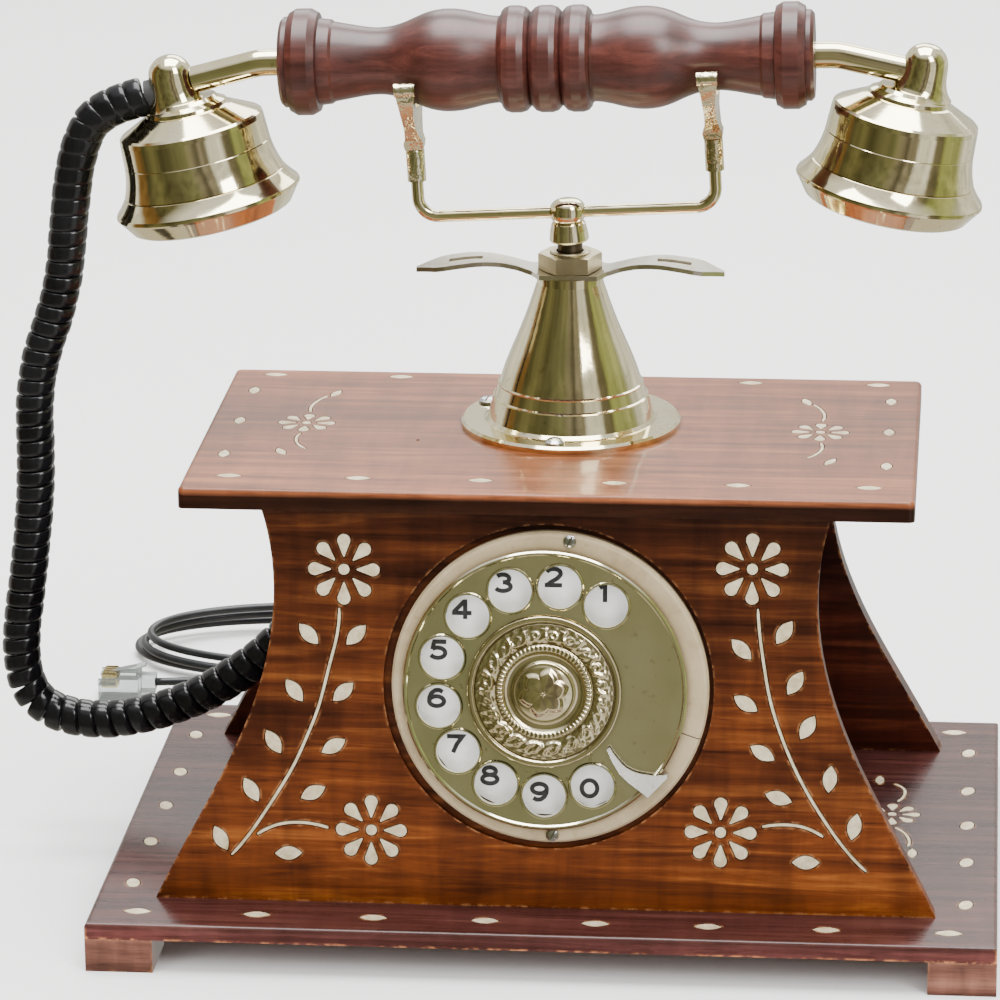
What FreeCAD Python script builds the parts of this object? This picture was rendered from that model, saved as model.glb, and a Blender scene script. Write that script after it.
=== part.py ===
import FreeCAD, Part
import os
import math
from FreeCAD import Vector as V

os.makedirs("parts", exist_ok=True)

# ---------------------------------------------------------------- driving sizes (mm)
FOOT_H, FOOT_X, FOOT_Y = 9.5, 18.5, 20.0      # square wooden feet
BASE_W, BASE_D, BASE_T = 247.0, 174.0, 4.5    # base board
LEAN = 7.1                                    # front and rear boards lean inwards, degrees
BOARD_T = 6.0
BODY_Y = 67.0                                 # outer face of front / rear board at its foot
BODY_TOP = 123.3                              # underside of the top board
HALF_W = [106.8, 97.3, 87.6, 79.6, 74.8, 73.8, 77.2]  # half width of a board, foot to top
WALL_X, WALL_T = 64.0, 5.0                    # recessed side walls
TOP_W, TOP_D, TOP_T = 198.6, 114.2, 5.8       # top board
INLAY_T, INLAY_GAP = 1.0, 0.28                # let-in brass ornaments
AX, AY = 2.0, 10.0                            # axis of pedestal and plunger
DIAL_X, DIAL_S = 0.4, 61.4                    # dial axis, across and up the front board
BEZEL_DX, BEZEL_DS = 1.3, 0.5                 # the bezel sits a little off the dial axis
BEZEL_R, WHEEL_R, HOLE_PITCH_R, HOLE_R = 43.1, 38.6, 29.1, 5.8
HOLE_A0, HOLE_STEP = 55.2, 26.85              # first finger hole and step, degrees
RECESS_R, RECESS_T = 44.9, 1.3                # round recess that the bezel is let into
ROD_R = 1.7                                   # bent rod of the cradle
GEAR_M, GEAR_Z, PINION_Z = 0.6, 60, 15        # dial gear and governor pinion
CRADLE_TILT = 2.95                            # degrees, right side up
HUB_Z = 190.0
FORK_X = 41.3                                 # fork distance from the hub
HS_X, HS_Z, HS_TILT = -4.0, 233.2, 1.5        # handset centre and tilt
CUPS = {-1: (103.15, 1.5, 10.3), 1: (102.1, 1.8, 13.0)}   # each cup: crown along and above the handle's axis, inward tilt
KNOB_OFF = 2.4                                # the crown knobs stand outwards of the cup axis
CORD_OD = 11.0                                # curly cord, outside
LINE_D = 2.5                                  # line cord
# ----------------------------------------------------------------

BASE_TOP = FOOT_H + BASE_T
TOP_Z = BODY_TOP + TOP_T
B = math.radians(LEAN)
SLANT = (BODY_TOP - BASE_TOP) / math.cos(B)
NODES = {}


def save(name, shape):
    NODES[name] = shape
    shape.exportStep("parts/%s.step" % name)


def compound(shapes):
    return Part.makeCompound(shapes)


def box(x0, x1, y0, y1, z0, z1):
    return Part.makeBox(x1 - x0, y1 - y0, z1 - z0, V(x0, y0, z0))


def cyl(p, d, r, h):
    return Part.makeCylinder(r, h, V(*p), V(*d))


def revolve(profile, p=(0, 0, 0), d=(0, 0, 1), smooth=None):
    """Solid of revolution; profile is (r, h) points, smooth is index pairs joined by a spline."""
    pts = [V(r, 0, h) for r, h in profile]
    edges = []
    i = 0
    smooth = smooth or []
    n = len(pts)
    while i < n:
        span = [s for s in smooth if s[0] == i]
        if span:
            c = Part.BSplineCurve()
            c.interpolate(pts[span[0][0]:span[0][1] + 1])
            edges.append(c.toShape())
            i = span[0][1]
            if i == n - 1 and (pts[-1] - pts[0]).Length < 1e-9:
                break
            continue
        j = (i + 1) % n
        if (pts[i] - pts[j]).Length > 1e-7:
            edges.append(Part.LineSegment(pts[i], pts[j]).toShape())
        i += 1
    f = Part.Face(Part.Wire(Part.__sortEdges__(edges)))
    s = f.revolve(V(0, 0, 0), V(0, 0, 1), 360)
    if s.Volume < 0:
        s.reverse()
    s.Placement = FreeCAD.Placement(V(*p), FreeCAD.Rotation(V(0, 0, 1), V(*d)))
    return s


def prism(points, z0, z1):
    w = Part.makePolygon([V(x, y, z0) for x, y in points] + [V(points[0][0], points[0][1], z0)])
    return Part.Face(w).extrude(V(0, 0, z1 - z0))


def solid_of(shape):
    return shape.Solids[0] if len(shape.Solids) == 1 else shape


def frame_place(shape, o, xa, ya, za):
    m = FreeCAD.Matrix(xa[0], ya[0], za[0], o[0], xa[1], ya[1], za[1], o[1],
                       xa[2], ya[2], za[2], o[2], 0, 0, 0, 1)
    s = shape.copy()
    s.transformShape(m)
    return s


def front(shape):
    """local x right, y up the front board, z outwards -> row frame"""
    return frame_place(shape, (0, -BODY_Y, BASE_TOP), (1, 0, 0), (0, math.sin(B), math.cos(B)),
                       (0, -math.cos(B), math.sin(B)))


def rear(shape):
    return frame_place(shape, (0, BODY_Y, BASE_TOP), (-1, 0, 0), (0, -math.sin(B), math.cos(B)),
                       (0, math.cos(B), math.sin(B)))


def about(shape, p, axis, deg):
    s = shape.copy()
    s.rotate(V(*p), V(*axis), deg)
    return s


def stroke(points, w):
    """Closed outline of a thin band of width w along smooth points."""
    c = Part.BSplineCurve()
    c.interpolate([V(x, y, 0) for x, y in points])
    n = 4 * len(points)
    left, right = [], []
    for i in range(n + 1):
        t = c.FirstParameter + (c.LastParameter - c.FirstParameter) * i / n
        p = c.value(t)
        d = c.tangent(t)[0]
        k = w / 2 * (1.0 if 0 < i < n else 0.55)
        left.append((p.x - d.y * k, p.y + d.x * k))
        right.append((p.x + d.y * k, p.y - d.x * k))
    return left + right[::-1]


def leaf(cx, cy, length, width, deg):
    """Pointed leaf: two arcs."""
    a = math.radians(deg)
    out = []
    n = 8
    for side in (1, -1):
        for i in range(n):
            t = -1 + 2.0 * i / n if side == 1 else 1 - 2.0 * i / n
            u, v = t * length / 2, side * width / 2 * (1 - t * t)
            out.append((cx + u * math.cos(a) - v * math.sin(a), cy + u * math.sin(a) + v * math.cos(a)))
    return out


def drop(cx, cy, r0, r1, w, deg):
    """Tear drop petal, narrow at radius r0, round at radius r1."""
    a = math.radians(deg)
    rr = w / 2
    out = [(r0, 0.16)]
    for i in range(9):
        t = math.radians(100 - 25 * i)
        out.append((r1 - rr + rr * math.cos(t), rr * math.sin(t)))
    out.append((r0, -0.16))
    return [(cx + u * math.cos(a) - v * math.sin(a), cy + u * math.sin(a) + v * math.cos(a)) for u, v in out]


def disc(cx, cy, r, n=20):
    return [(cx + r * math.cos(2 * math.pi * i / n), cy + r * math.sin(2 * math.pi * i / n)) for i in range(n)]


def oval(cx, cy, rx, ry, deg, n=20):
    a = math.radians(deg)
    out = []
    for i in range(n):
        u, v = rx * math.cos(2 * math.pi * i / n), ry * math.sin(2 * math.pi * i / n)
        out.append((cx + u * math.cos(a) - v * math.sin(a), cy + u * math.sin(a) + v * math.cos(a)))
    return out


def flower(cx, cy, R, k=1.0):
    out = [disc(cx, cy, 1.5 * k)]
    for i in range(8):
        out.append(drop(cx, cy, 3.5 * k, R, 3.55 * k, 45 * i))
    return out


def grown(poly, g):
    """Outline moved outwards by g."""
    w = Part.makePolygon([V(x, y, 0) for x, y in poly] + [V(poly[0][0], poly[0][1], 0)])
    f = Part.Face(w)
    c = f.CenterOfMass
    o = w.makeOffset2D(g, 2)
    return o


def inlay(polys, z1, place=None):
    """brass pieces and their pockets, in a plane whose outward direction is +z"""
    pieces, pockets = [], []
    for p in polys:
        pieces.append(prism(p, z1 - INLAY_T, z1))
        o = grown(p, INLAY_GAP)
        f = Part.Face(o)
        k = f.extrude(V(0, 0, INLAY_T + 1.0))
        k.translate(V(0, 0, z1 - INLAY_T - 0.1))
        pockets.append(k)
    if place:
        pieces = [place(s) for s in pieces]
        pockets = [place(s) for s in pockets]
    return pieces, pockets


# ---------------------------------------------------------------- case
def half_width_curve(sign):
    pts = [V(sign * w, SLANT * i / 6.0, 0) for i, w in enumerate(HALF_W)]
    c = Part.BSplineCurve()
    c.interpolate(pts)
    return c


def board_local():
    r, l = half_width_curve(1), half_width_curve(-1)
    e = [r.toShape(), l.toShape(),
         Part.LineSegment(V(HALF_W[-1], SLANT, 0), V(-HALF_W[-1], SLANT, 0)).toShape(),
         Part.LineSegment(V(-HALF_W[0], 0, 0), V(HALF_W[0], 0, 0)).toShape()]
    f = Part.Face(Part.Wire(Part.__sortEdges__(e)))
    # a little longer at both ends, then cut level with the base and top boards
    s = f.extrude(V(0, 0, -BOARD_T))
    foot = box(-HALF_W[0], HALF_W[0], -2, 0, -BOARD_T, 0)
    head = box(-HALF_W[-1], HALF_W[-1], SLANT, SLANT + 2, -BOARD_T, 0)
    return s.fuse([foot, head]).removeSplitter()


SLAB = box(-200, 200, -200, 200, BASE_TOP, BODY_TOP)

STEM_W = 0.75
FRONT_POLYS = []
for x, y in ((-54.5, 93.1), (-47.2, 20.6), (56.0, 95.5), (48.2, 22.4)):
    FRONT_POLYS += flower(x, y, 9.75)
# hand-cut sprays: stem, side stem and leaves of each side
FRONT_POLYS.append(stroke([(-55.8, 82.3), (-56.6, 74.1), (-58.4, 67.0), (-60.5, 58.6), (-62.4, 52.4), (-65.0, 46.0), (-68.1, 39.0), (-71.8, 32.4),
                           (-75.8, 26.0), (-80.2, 19.4), (-85.8, 12.6)], STEM_W))
FRONT_POLYS.append(stroke([(-78.6, 18.6), (-75.6, 20.4), (-72.0, 21.7), (-68.0, 22.2), (-63.1, 21.9), (-59.0, 20.9)], STEM_W))
FRONT_POLYS.append(stroke([(57.6, 84.6), (58.0, 79.5), (58.5, 75.2), (59.4, 69.2), (60.8, 61.3), (62.7, 54.3), (65.5, 46.6), (68.8, 39.2), (72.6, 32.2),
                           (76.8, 25.6), (81.7, 18.9), (87.8, 12.5)], STEM_W))
FRONT_POLYS.append(stroke([(59.5, 24.3), (65.1, 25.0), (69.9, 24.6), (73.8, 23.2), (76.0, 21.9)], STEM_W))
for x, y, a in ((-64.2, 75.0, -47), (-68.2, 59.2, -53), (-74.0, 44.7, -58), (-80.2, 31.1, -59), (-88.7, 17.2, -62),
                (-51.2, 75.0, 46), (-54.8, 59.1, 43), (-57.5, 43.9, 30), (-63.2, 30.7, 26), (-70.0, 13.5, 3),
                (64.8, 78.3, 57), (67.9, 64.4, 58), (71.4, 52.2, 60), (77.6, 38.0, 84), (84.4, 24.9, 78),
                (53.3, 73.4, -45), (54.6, 58.4, -32), (59.3, 44.8, -30), (63.8, 32.4, -16), (71.4, 14.6, 1)):
    FRONT_POLYS.append(leaf(x, y, 7.5, 3.8, a))
f_pieces, f_pockets = inlay(FRONT_POLYS, 0.0)

BASE_POLYS = []
for x in (-110.4, -77.5, -45.5, -15.0, 15.0, 45.5, 77.5, 110.4):
    BASE_POLYS.append(leaf(x, -77.2, 7.4, 3.7, 0))
    BASE_POLYS.append(leaf(x, 77.2, 7.4, 3.7, 0))
for sx in (-1, 1):
    for y in (-57.0, -26.0, 2.0, 29.0, 60.0):
        BASE_POLYS.append(oval(sx * 114.8, y, 1.85, 3.1, -12 * sx))
    BASE_POLYS += flower(sx * 93.4, 9.5, 8.0, 0.85)
    BASE_POLYS.append(leaf(sx * 89.3, 36.3, 7.0, 2.6, 90))
    BASE_POLYS.append(leaf(sx * 99.6, -20.0, 7.0, 2.6, 90))
    BASE_POLYS.append(stroke([(sx * x, y) for x, y in [(93.6, 33.5), (96.4, 29.5), (96.6, 24.5), (94.8, 19.6)]], 0.8))
    BASE_POLYS.append(stroke([(sx * x, y) for x, y in [(94.4, -0.6), (97.4, -5.5), (98.6, -10.5), (98.4, -15.0)]], 0.8))
b_pieces, b_pockets = inlay(BASE_POLYS, BASE_TOP)

TOP_POLYS = []
for y, xs in ((53.0 - 1.5, (-87.0, -50.5, 50.5, 87.0)), (-45.0, (-86.8, -51.5, -18.2, 18.2, 51.5, 86.8))):
    for x in xs:
        TOP_POLYS.append(leaf(x, y, 6.8, 3.2, 0))
for sx in (-1, 1):
    for y in (-25.4, 5.8, 35.2):
        TOP_POLYS.append(leaf(sx * 91.0, y, 6.6, 3.0, 90))
    TOP_POLYS += flower(sx * 72.0, 4.8, 8.0, 0.85)
    TOP_POLYS.append(leaf(sx * 67.2, 33.5, 6.6, 2.4, 90 + sx * 18))
    TOP_POLYS.append(stroke([(sx * x, y) for x, y in [(69.3, 31.0), (71.4, 26.4), (72.6, 21.0), (72.2, 15.2)]], 0.8))
    TOP_POLYS.append(stroke([(sx * x, y) for x, y in [(72.4, -5.2), (72.9, -11.0), (71.6, -15.6), (69.2, -19.4)]], 0.8))
    TOP_POLYS.append(leaf(sx * 75.6, -22.4, 6.6, 2.4, 90 - sx * 24))
t_pieces, t_pockets = inlay(TOP_POLYS, TOP_Z)

# base board, countersunk for its screws, which come up through it into the corner blocks
BLOCKS = [(sx * 52.0, sy * 50.0) for sx in (-1, 1) for sy in (-1, 1)]
base = box(-BASE_W / 2, BASE_W / 2, -BASE_D / 2, BASE_D / 2, FOOT_H, BASE_TOP)
base = base.makeFillet(1.2, [e for e in base.Edges if abs(e.BoundBox.ZMin - BASE_TOP) < 1e-6 and abs(e.BoundBox.ZMax - BASE_TOP) < 1e-6])
screw_bodies, screw_holes = [], []
for x, y in BLOCKS:
    h = revolve([(0, 0), (3.6, 0), (1.75, 1.9), (1.75, 12), (0, 14)], (x, y, FOOT_H))
    slot = box(x - 4, x + 4, y - 0.4, y + 0.4, FOOT_H - 0.1, FOOT_H + 0.7)
    screw_bodies.append(h.cut(slot))
    screw_holes.append(h)
base = base.cut(compound(b_pockets)).cut(compound(screw_holes))
save("base_board", solid_of(base))
save("base_inlay", compound(b_pieces))
save("base_screws", compound([solid_of(s) for s in screw_bodies]))

feet, fscrews = [], []
for i in (-1, 1):
    for j in (-1, 1):
        x0 = i * BASE_W / 2 if i < 0 else BASE_W / 2 - FOOT_X
        y0 = j * BASE_D / 2 if j < 0 else BASE_D / 2 - FOOT_Y
        f = box(x0, x0 + FOOT_X, y0, y0 + FOOT_Y, 0, FOOT_H)
        cx, cy = x0 + FOOT_X / 2, y0 + FOOT_Y / 2
        bore = cyl((cx, cy, 0), (0, 0, 1), 3.0, 4.0)
        s = revolve([(0, 4.0), (2.9, 4.0), (2.9, 2.4), (0, 2.4)], (cx, cy, 0))
        shank = cyl((cx, cy, 4.0), (0, 0, 1), 1.4, FOOT_H - 4.0)
        s = s.fuse(shank).cut(box(cx - 3, cx + 3, cy - 0.35, cy + 0.35, 2.3, 3.0))
        feet.append(solid_of(f.cut(bore).cut(shank)))
        fscrews.append(solid_of(s.removeSplitter()))
save("feet", compound(feet))
save("foot_screws", compound(fscrews))

# front board: dial opening, ornament pockets
fb = board_local()
BZ = (DIAL_X + BEZEL_DX, DIAL_S + BEZEL_DS)
dial_hole = cyl((DIAL_X, DIAL_S, -BOARD_T - 1), (0, 0, 1), 31.0, BOARD_T + 2)
dial_hole = dial_hole.fuse(cyl((BZ[0] - 0.6, BZ[1] - 0.3, -RECESS_T), (0, 0, 1), RECESS_R, RECESS_T + 1))
fb = fb.cut(dial_hole).cut(compound(f_pockets))
bz_screws = []
for ang, rad in ((82.7, 40.9), (271.2, 40.9)):
    a = math.radians(ang)
    bz_screws.append((BZ[0] + rad * math.cos(a), BZ[1] + rad * math.sin(a)))
for x, y in bz_screws:
    fb = fb.cut(cyl((x, y, -4.0), (0, 0, 1), 0.9, 5))
fb = front(fb).common(SLAB)
save("front_board", solid_of(fb))
save("front_inlay", compound([front(s) for s in f_pieces]))

# rear board with the hole for the line cord gland
GLX, GLS = 62.0, 9.0          # in the rear board's own frame
rb = board_local().cut(cyl((GLX, GLS, -BOARD_T - 1), (0, 0, 1), 3.0, BOARD_T + 2))
rb = rear(rb).common(SLAB)
save("rear_board", solid_of(rb))

# recessed side walls between the boards
def y_in(z):
    return -BODY_Y + BOARD_T / math.cos(B) + (z - BASE_TOP) * math.tan(B)


GROM_Y, GROM_Z = 10.0, 74.3
wall_pts = [(y_in(BASE_TOP), BASE_TOP), (-y_in(BASE_TOP), BASE_TOP), (-y_in(BODY_TOP), BODY_TOP), (y_in(BODY_TOP), BODY_TOP)]


def wall(x0, x1):
    w = Part.makePolygon([V(x0, y, z) for y, z in wall_pts + wall_pts[:1]])
    return Part.Face(w).extrude(V(x1 - x0, 0, 0))


wl = wall(-WALL_X, -WALL_X + WALL_T).cut(cyl((-WALL_X - 1, GROM_Y, GROM_Z), (1, 0, 0), 7.0, WALL_T + 2))
save("side_wall_left", solid_of(wl))
save("side_wall_right", wall(WALL_X - WALL_T, WALL_X))

# corner blocks glued inside, taking the base screws
blocks = []
for (x, y), h in zip(BLOCKS, screw_holes):
    blocks.append(solid_of(box(x - 6.8, x + 6.8, y - 5.5, y + 5.5, BASE_TOP, BASE_TOP + 16).cut(h)))
save("corner_blocks", compound(blocks))

# top board
top = box(-TOP_W / 2, TOP_W / 2, -TOP_D / 2, TOP_D / 2, BODY_TOP, TOP_Z)
top = top.makeFillet(1.8, [e for e in top.Edges if e.BoundBox.ZLength > 5])
top = top.makeFillet(1.4, [e for e in top.Edges if abs(e.BoundBox.ZMin - TOP_Z) < 1e-6 and abs(e.BoundBox.ZMax - TOP_Z) < 1e-6])
top = top.cut(cyl((-39.0, -9.6, TOP_Z - 3.0), (0, 0, 1), 0.6, 4.0))              # old nail hole
top = top.cut(cyl((AX, AY, BODY_TOP - 1), (0, 0, 1), 4.2, TOP_T + 2)).cut(compound(t_pockets))
ped_angles = (265.0, 155.0, 72.0)
ped_screws = [(AX + 26.8 * math.cos(math.radians(a)), AY + 26.8 * math.sin(math.radians(a))) for a in ped_angles]
for x, y in ped_screws:
    top = top.cut(cyl((x, y, TOP_Z - 4.5), (0, 0, 1), 1.2, 5))
save("top_board", solid_of(top))
save("top_inlay", compound(t_pieces))

# ---------------------------------------------------------------- dial (front board's own frame)
D = (DIAL_X, DIAL_S)


def d_rev(profile, smooth=None, cx=D[0], cy=D[1]):
    return revolve(profile, (cx, cy, 0), (0, 0, 1), smooth)


bez = d_rev([(36.8, -RECESS_T), (BEZEL_R, -RECESS_T), (BEZEL_R, 1.0), (42.5, 1.7), (41.8, 1.9), (36.8, 1.8)], cx=BZ[0], cy=BZ[1])
bz_s = []
for x, y in bz_screws:
    head = revolve([(0, -4.0), (0.9, -4.0), (0.9, 0.6), (1.7, 1.2), (1.7, 2.3), (1.0, 2.8), (0, 2.9)], (x, y, 0))
    hole = revolve([(0, -4.0), (0.9, -4.0), (0.9, 0.6), (1.7, 1.2), (1.7, 6), (0, 6)], (x, y, 0))
    bez = bez.cut(hole)
    bz_s.append(solid_of(head.cut(about(box(x - 2, x + 2, y - 0.25, y + 0.25, 2.4, 4), (x, y, 0), (0, 0, 1), 62))))
# the ring is closed by a butt joint low on its right side
joint_a = math.radians(-18.0)
bez = bez.cut(about(box(BZ[0] + 30, BZ[0] + 46, BZ[1] - 0.12, BZ[1] + 0.12, -3, 4), (BZ[0], BZ[1], 0), (0, 0, 1), math.degrees(joint_a)))
save("dial_bezel", front(solid_of(bez)))
save("bezel_screws", compound([front(s) for s in bz_s]))

# number plate, printed digits are shallow let-in strokes of their own
plate = d_rev([(2.6, -RECESS_T), (35.2, -RECESS_T), (35.2, -0.5), (2.6, -0.5)])


def arc(cx, cy, rx, ry, a0, a1, n=10):
    return [(cx + rx * math.cos(math.radians(a0 + (a1 - a0) * i / n)), cy + ry * math.sin(math.radians(a0 + (a1 - a0) * i / n))) for i in range(n + 1)]


# centre lines of the figures in a cell 1 wide and 1 high; a closed line repeats its first point
GLYPH = {
    "0": [arc(0.5, 0.5, 0.46, 0.5, 90, 450, 20)],
    "1": [[(0.10, 0.76), (0.50, 0.93)], [(0.58, 1.1), (0.58, -0.1)]],
    "2": [arc(0.5, 0.72, 0.42, 0.28, 165, -20, 9) + [(0.72, 0.42), (0.36, 0.20), (0.14, 0.02)], [(-0.02, 0.0), (1.0, 0.0)]],
    "3": [arc(0.46, 0.76, 0.38, 0.24, 150, -90, 10), arc(0.46, 0.27, 0.46, 0.27, 90, -155, 12)],
    "4": [[(0.72, 1.1), (0.72, -0.1)], [(0.66, 0.98), (0.06, 0.34)], [(-0.06, 0.27), (1.1, 0.27)]],
    "5": [[(0.98, 1.0), (0.16, 1.0)], [(0.27, 1.0), (0.16, 0.52)], arc(0.47, 0.32, 0.45, 0.32, 135, -155, 12)],
    "6": [arc(0.5, 0.3, 0.44, 0.3, 90, 450, 18), [(0.86, 0.88), (0.66, 0.99), (0.42, 0.97), (0.20, 0.80), (0.08, 0.55), (0.06, 0.32)]],
    "7": [[(0.04, 1.0), (0.96, 1.0), (0.62, 0.52), (0.40, 0.0)]],
    "8": [arc(0.5, 0.77, 0.36, 0.23, 90, 450, 16), arc(0.5, 0.27, 0.45, 0.27, 90, 450, 18)],
    "9": [arc(0.5, 0.7, 0.44, 0.3, 90, 450, 18), [(0.14, 0.12), (0.34, 0.01), (0.58, 0.03), (0.80, 0.20), (0.92, 0.45), (0.94, 0.68)]],
}


def band(points, w):
    """Flat face of width w along a polyline, mitred; a closed line gives a ring."""
    closed = math.hypot(points[0][0] - points[-1][0], points[0][1] - points[-1][1]) < 1e-6
    pts = points[:-1] if closed else points
    n = len(pts)
    side = {1: [], -1: []}
    for i in range(n):
        a = pts[i - 1] if (closed or i > 0) else None
        b = pts[(i + 1) % n] if (closed or i < n - 1) else None
        d = []
        for p, q in ((a, pts[i]), (pts[i], b)):
            if p is not None and q is not None:
                L = math.hypot(q[0] - p[0], q[1] - p[1])
                d.append(((q[0] - p[0]) / L, (q[1] - p[1]) / L))
        tx, ty = sum(v[0] for v in d), sum(v[1] for v in d)
        L = math.hypot(tx, ty)
        tx, ty = tx / L, ty / L
        c = max(0.45, tx * d[0][0] + ty * d[0][1])
        for k in (1, -1):
            side[k].append((pts[i][0] - k * ty * w / 2 / c, pts[i][1] + k * tx * w / 2 / c))
    if closed:
        wires = [Part.makePolygon([V(x, y, 0) for x, y in side[k] + side[k][:1]]) for k in (1, -1)]
        wires.sort(key=lambda q: -q.BoundBox.DiagonalLength)
        return Part.Face(wires[0]).cut(Part.Face(wires[1])).Faces[0]
    out = side[1] + side[-1][::-1]
    return Part.Face(Part.makePolygon([V(x, y, 0) for x, y in out + out[:1]]))


def digit(ch, cx, cy, w, h, t):
    """One printed figure as a thin raised solid on the plate."""
    solids = []
    for line in GLYPH[ch]:
        f = band([(cx + (x - 0.5) * w, cy + (y - 0.5) * h) for x, y in line], t)
        f.translate(V(0, 0, -0.5))
        solids.append(f.extrude(V(0, 0, 0.1)))
    f = solids[0] if len(solids) == 1 else solids[0].fuse(solids[1:]).removeSplitter()
    return f


# the plate is turned and set so that the figures sit high and left in their holes
DIGIT_SHIFT = [(-0.9, 2.9), (-2.0, 1.9), (-2.1, 1.3), (-2.1, 1.0), (-1.5, 1.2), (-1.0, 1.3), (-1.3, 0.9), (-2.0, 1.2), (-1.6, 0.1), (-1.1, -1.7)]
digits = []
for k in range(10):
    a = math.radians(HOLE_A0 + HOLE_STEP * k)
    ch = str((k + 1) % 10)
    cx = D[0] + HOLE_PITCH_R * math.cos(a) + DIGIT_SHIFT[k][0]
    cy = D[1] + HOLE_PITCH_R * math.sin(a) + DIGIT_SHIFT[k][1]
    digits.append(digit(ch, cx, cy, 4.6 if ch != "1" else 3.0, 4.5, 1.2))
digits = [s for d in digits for s in d.Solids]
save("dial_number_plate", front(plate))
save("dial_digits", compound([front(s) for s in digits]))

# mechanism frame in the front board's opening
fr = cyl((D[0], D[1], -4.0), (0, 0, 1), 30.6, 2.7)
fr = fr.fuse(cyl((D[0], D[1], -18.0), (0, 0, 1), 30.6, 2.0))
for a in (20, 140, 260):
    x, y = D[0] + 28.9 * math.cos(math.radians(a)), D[1] + 28.9 * math.sin(math.radians(a))
    fr = fr.fuse(cyl((x, y, -17.0), (0, 0, 1), 1.5, 15.0))
fr = fr.cut(cyl((D[0], D[1], -30), (0, 0, 1), 2.08, 60))
GD = GEAR_M * (GEAR_Z + PINION_Z) / 2 + 0.05
ga = math.radians(200.0)
GX, GY = D[0] + GD * math.cos(ga), D[1] + GD * math.sin(ga)
fr = fr.cut(cyl((GX, GY, -30), (0, 0, 1), 1.05, 29.0))
save("dial_frame", front(solid_of(fr.removeSplitter())))

# finger wheel
wheel = d_rev([(2.0, 2.4), (37.9, 2.4), (WHEEL_R, 2.7), (WHEEL_R, 3.5), (38.2, 3.9), (37.7, 3.9), (37.3, 3.5), (2.0, 3.5)])
rims, cuts = [], []
for k in range(10):
    a = math.radians(HOLE_A0 + HOLE_STEP * k)
    x, y = D[0] + HOLE_PITCH_R * math.cos(a), D[1] + HOLE_PITCH_R * math.sin(a)
    rims.append(revolve([(5.0, 2.6), (HOLE_R + 0.75, 2.6), (HOLE_R + 0.75, 3.7), (HOLE_R + 0.5, 4.05), (5.0, 4.05)], (x, y, 0)))
    cuts.append(revolve([(0, 1.0), (HOLE_R, 1.0), (HOLE_R, 3.6), (HOLE_R + 0.28, 5.0), (0, 5.0)], (x, y, 0)))
wheel = wheel.fuse(rims).cut(compound(cuts)).removeSplitter()
save("finger_wheel", front(solid_of(wheel)))

# embossed centre medallion
med = d_rev([(0, 3.5), (20.9, 3.5), (20.9, 4.4), (20.3, 4.8), (19.6, 4.7), (19.2, 4.1), (17.0, 5.4), (14.2, 5.2), (13.4, 4.6),
             (12.7, 5.1), (12.1, 5.1), (11.4, 4.4), (9.6, 4.1), (8.2, 4.6), (7.6, 6.0), (5.2, 7.2), (2.6, 7.6), (0, 7.7)],
            smooth=[(14, 17)])
beads = []
for i in range(20):
    a = 2 * math.pi * i / 20
    beads.append(Part.makeSphere(1.5, V(D[0] + 16.0 * math.cos(a), D[1] + 16.0 * math.sin(a), 4.8)))
med = med.fuse(beads).common(cyl((D[0], D[1], 3.5), (0, 0, 1), 25, 10)).removeSplitter()
save("dial_medallion", front(solid_of(med)))
save("dial_shaft", front(d_rev([(0, -20), (2.0, -20), (2.0, 3.5), (0, 3.5)])))


def gear_outline(m, z, cx, cy, phase, slack=0.16):
    """Involute teeth, 20 degree pressure angle, thinned by slack; phase puts a tooth on that angle."""
    rp = m * z / 2.0
    rb_ = rp * math.cos(math.radians(20))
    ra = rp + m
    rf = rp - 1.25 * m
    inv = math.tan(math.radians(20)) - math.radians(20)
    half = math.pi / (2 * z) - slack / (2 * rp)

    def off(r):
        if r <= rb_:
            return half + inv
        al = math.acos(rb_ / r)
        return half + inv - (math.tan(al) - al)
    pts = []
    rs = [rf] + [max(rb_, rf) + (ra - max(rb_, rf)) * i / 4.0 for i in range(5)]
    for k in range(z):
        a = phase + 2 * math.pi * k / z
        for r in rs:
            pts.append((cx + r * math.cos(a - off(r)), cy + r * math.sin(a - off(r))))
        for r in rs[::-1]:
            pts.append((cx + r * math.cos(a + off(r)), cy + r * math.sin(a + off(r))))
    return pts


gear = prism(gear_outline(GEAR_M, GEAR_Z, D[0], D[1], ga), -10.0, -8.0).fuse(cyl((D[0], D[1], -12.0), (0, 0, 1), 5.0, 4.0))
gear = gear.cut(cyl((D[0], D[1], -20), (0, 0, 1), 2.0, 20)).removeSplitter()
save("dial_gear", front(solid_of(gear)))
pin = prism(gear_outline(GEAR_M, PINION_Z, GX, GY, ga + math.pi + math.pi / PINION_Z), -10.4, -7.6)
pin = pin.fuse([cyl((GX, GY, -18.6), (0, 0, 1), 1.0, 16.4), cyl((GX, GY, -14.5), (0, 0, 1), 3.6, 3.0)]).removeSplitter()
save("governor_pinion", front(solid_of(pin)))
# return spring housing on the frame's back plate
save("dial_spring_box", front(d_rev([(2.4, -24.0), (14.0, -24.0), (14.0, -18.0), (2.4, -18.0)])))

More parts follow.
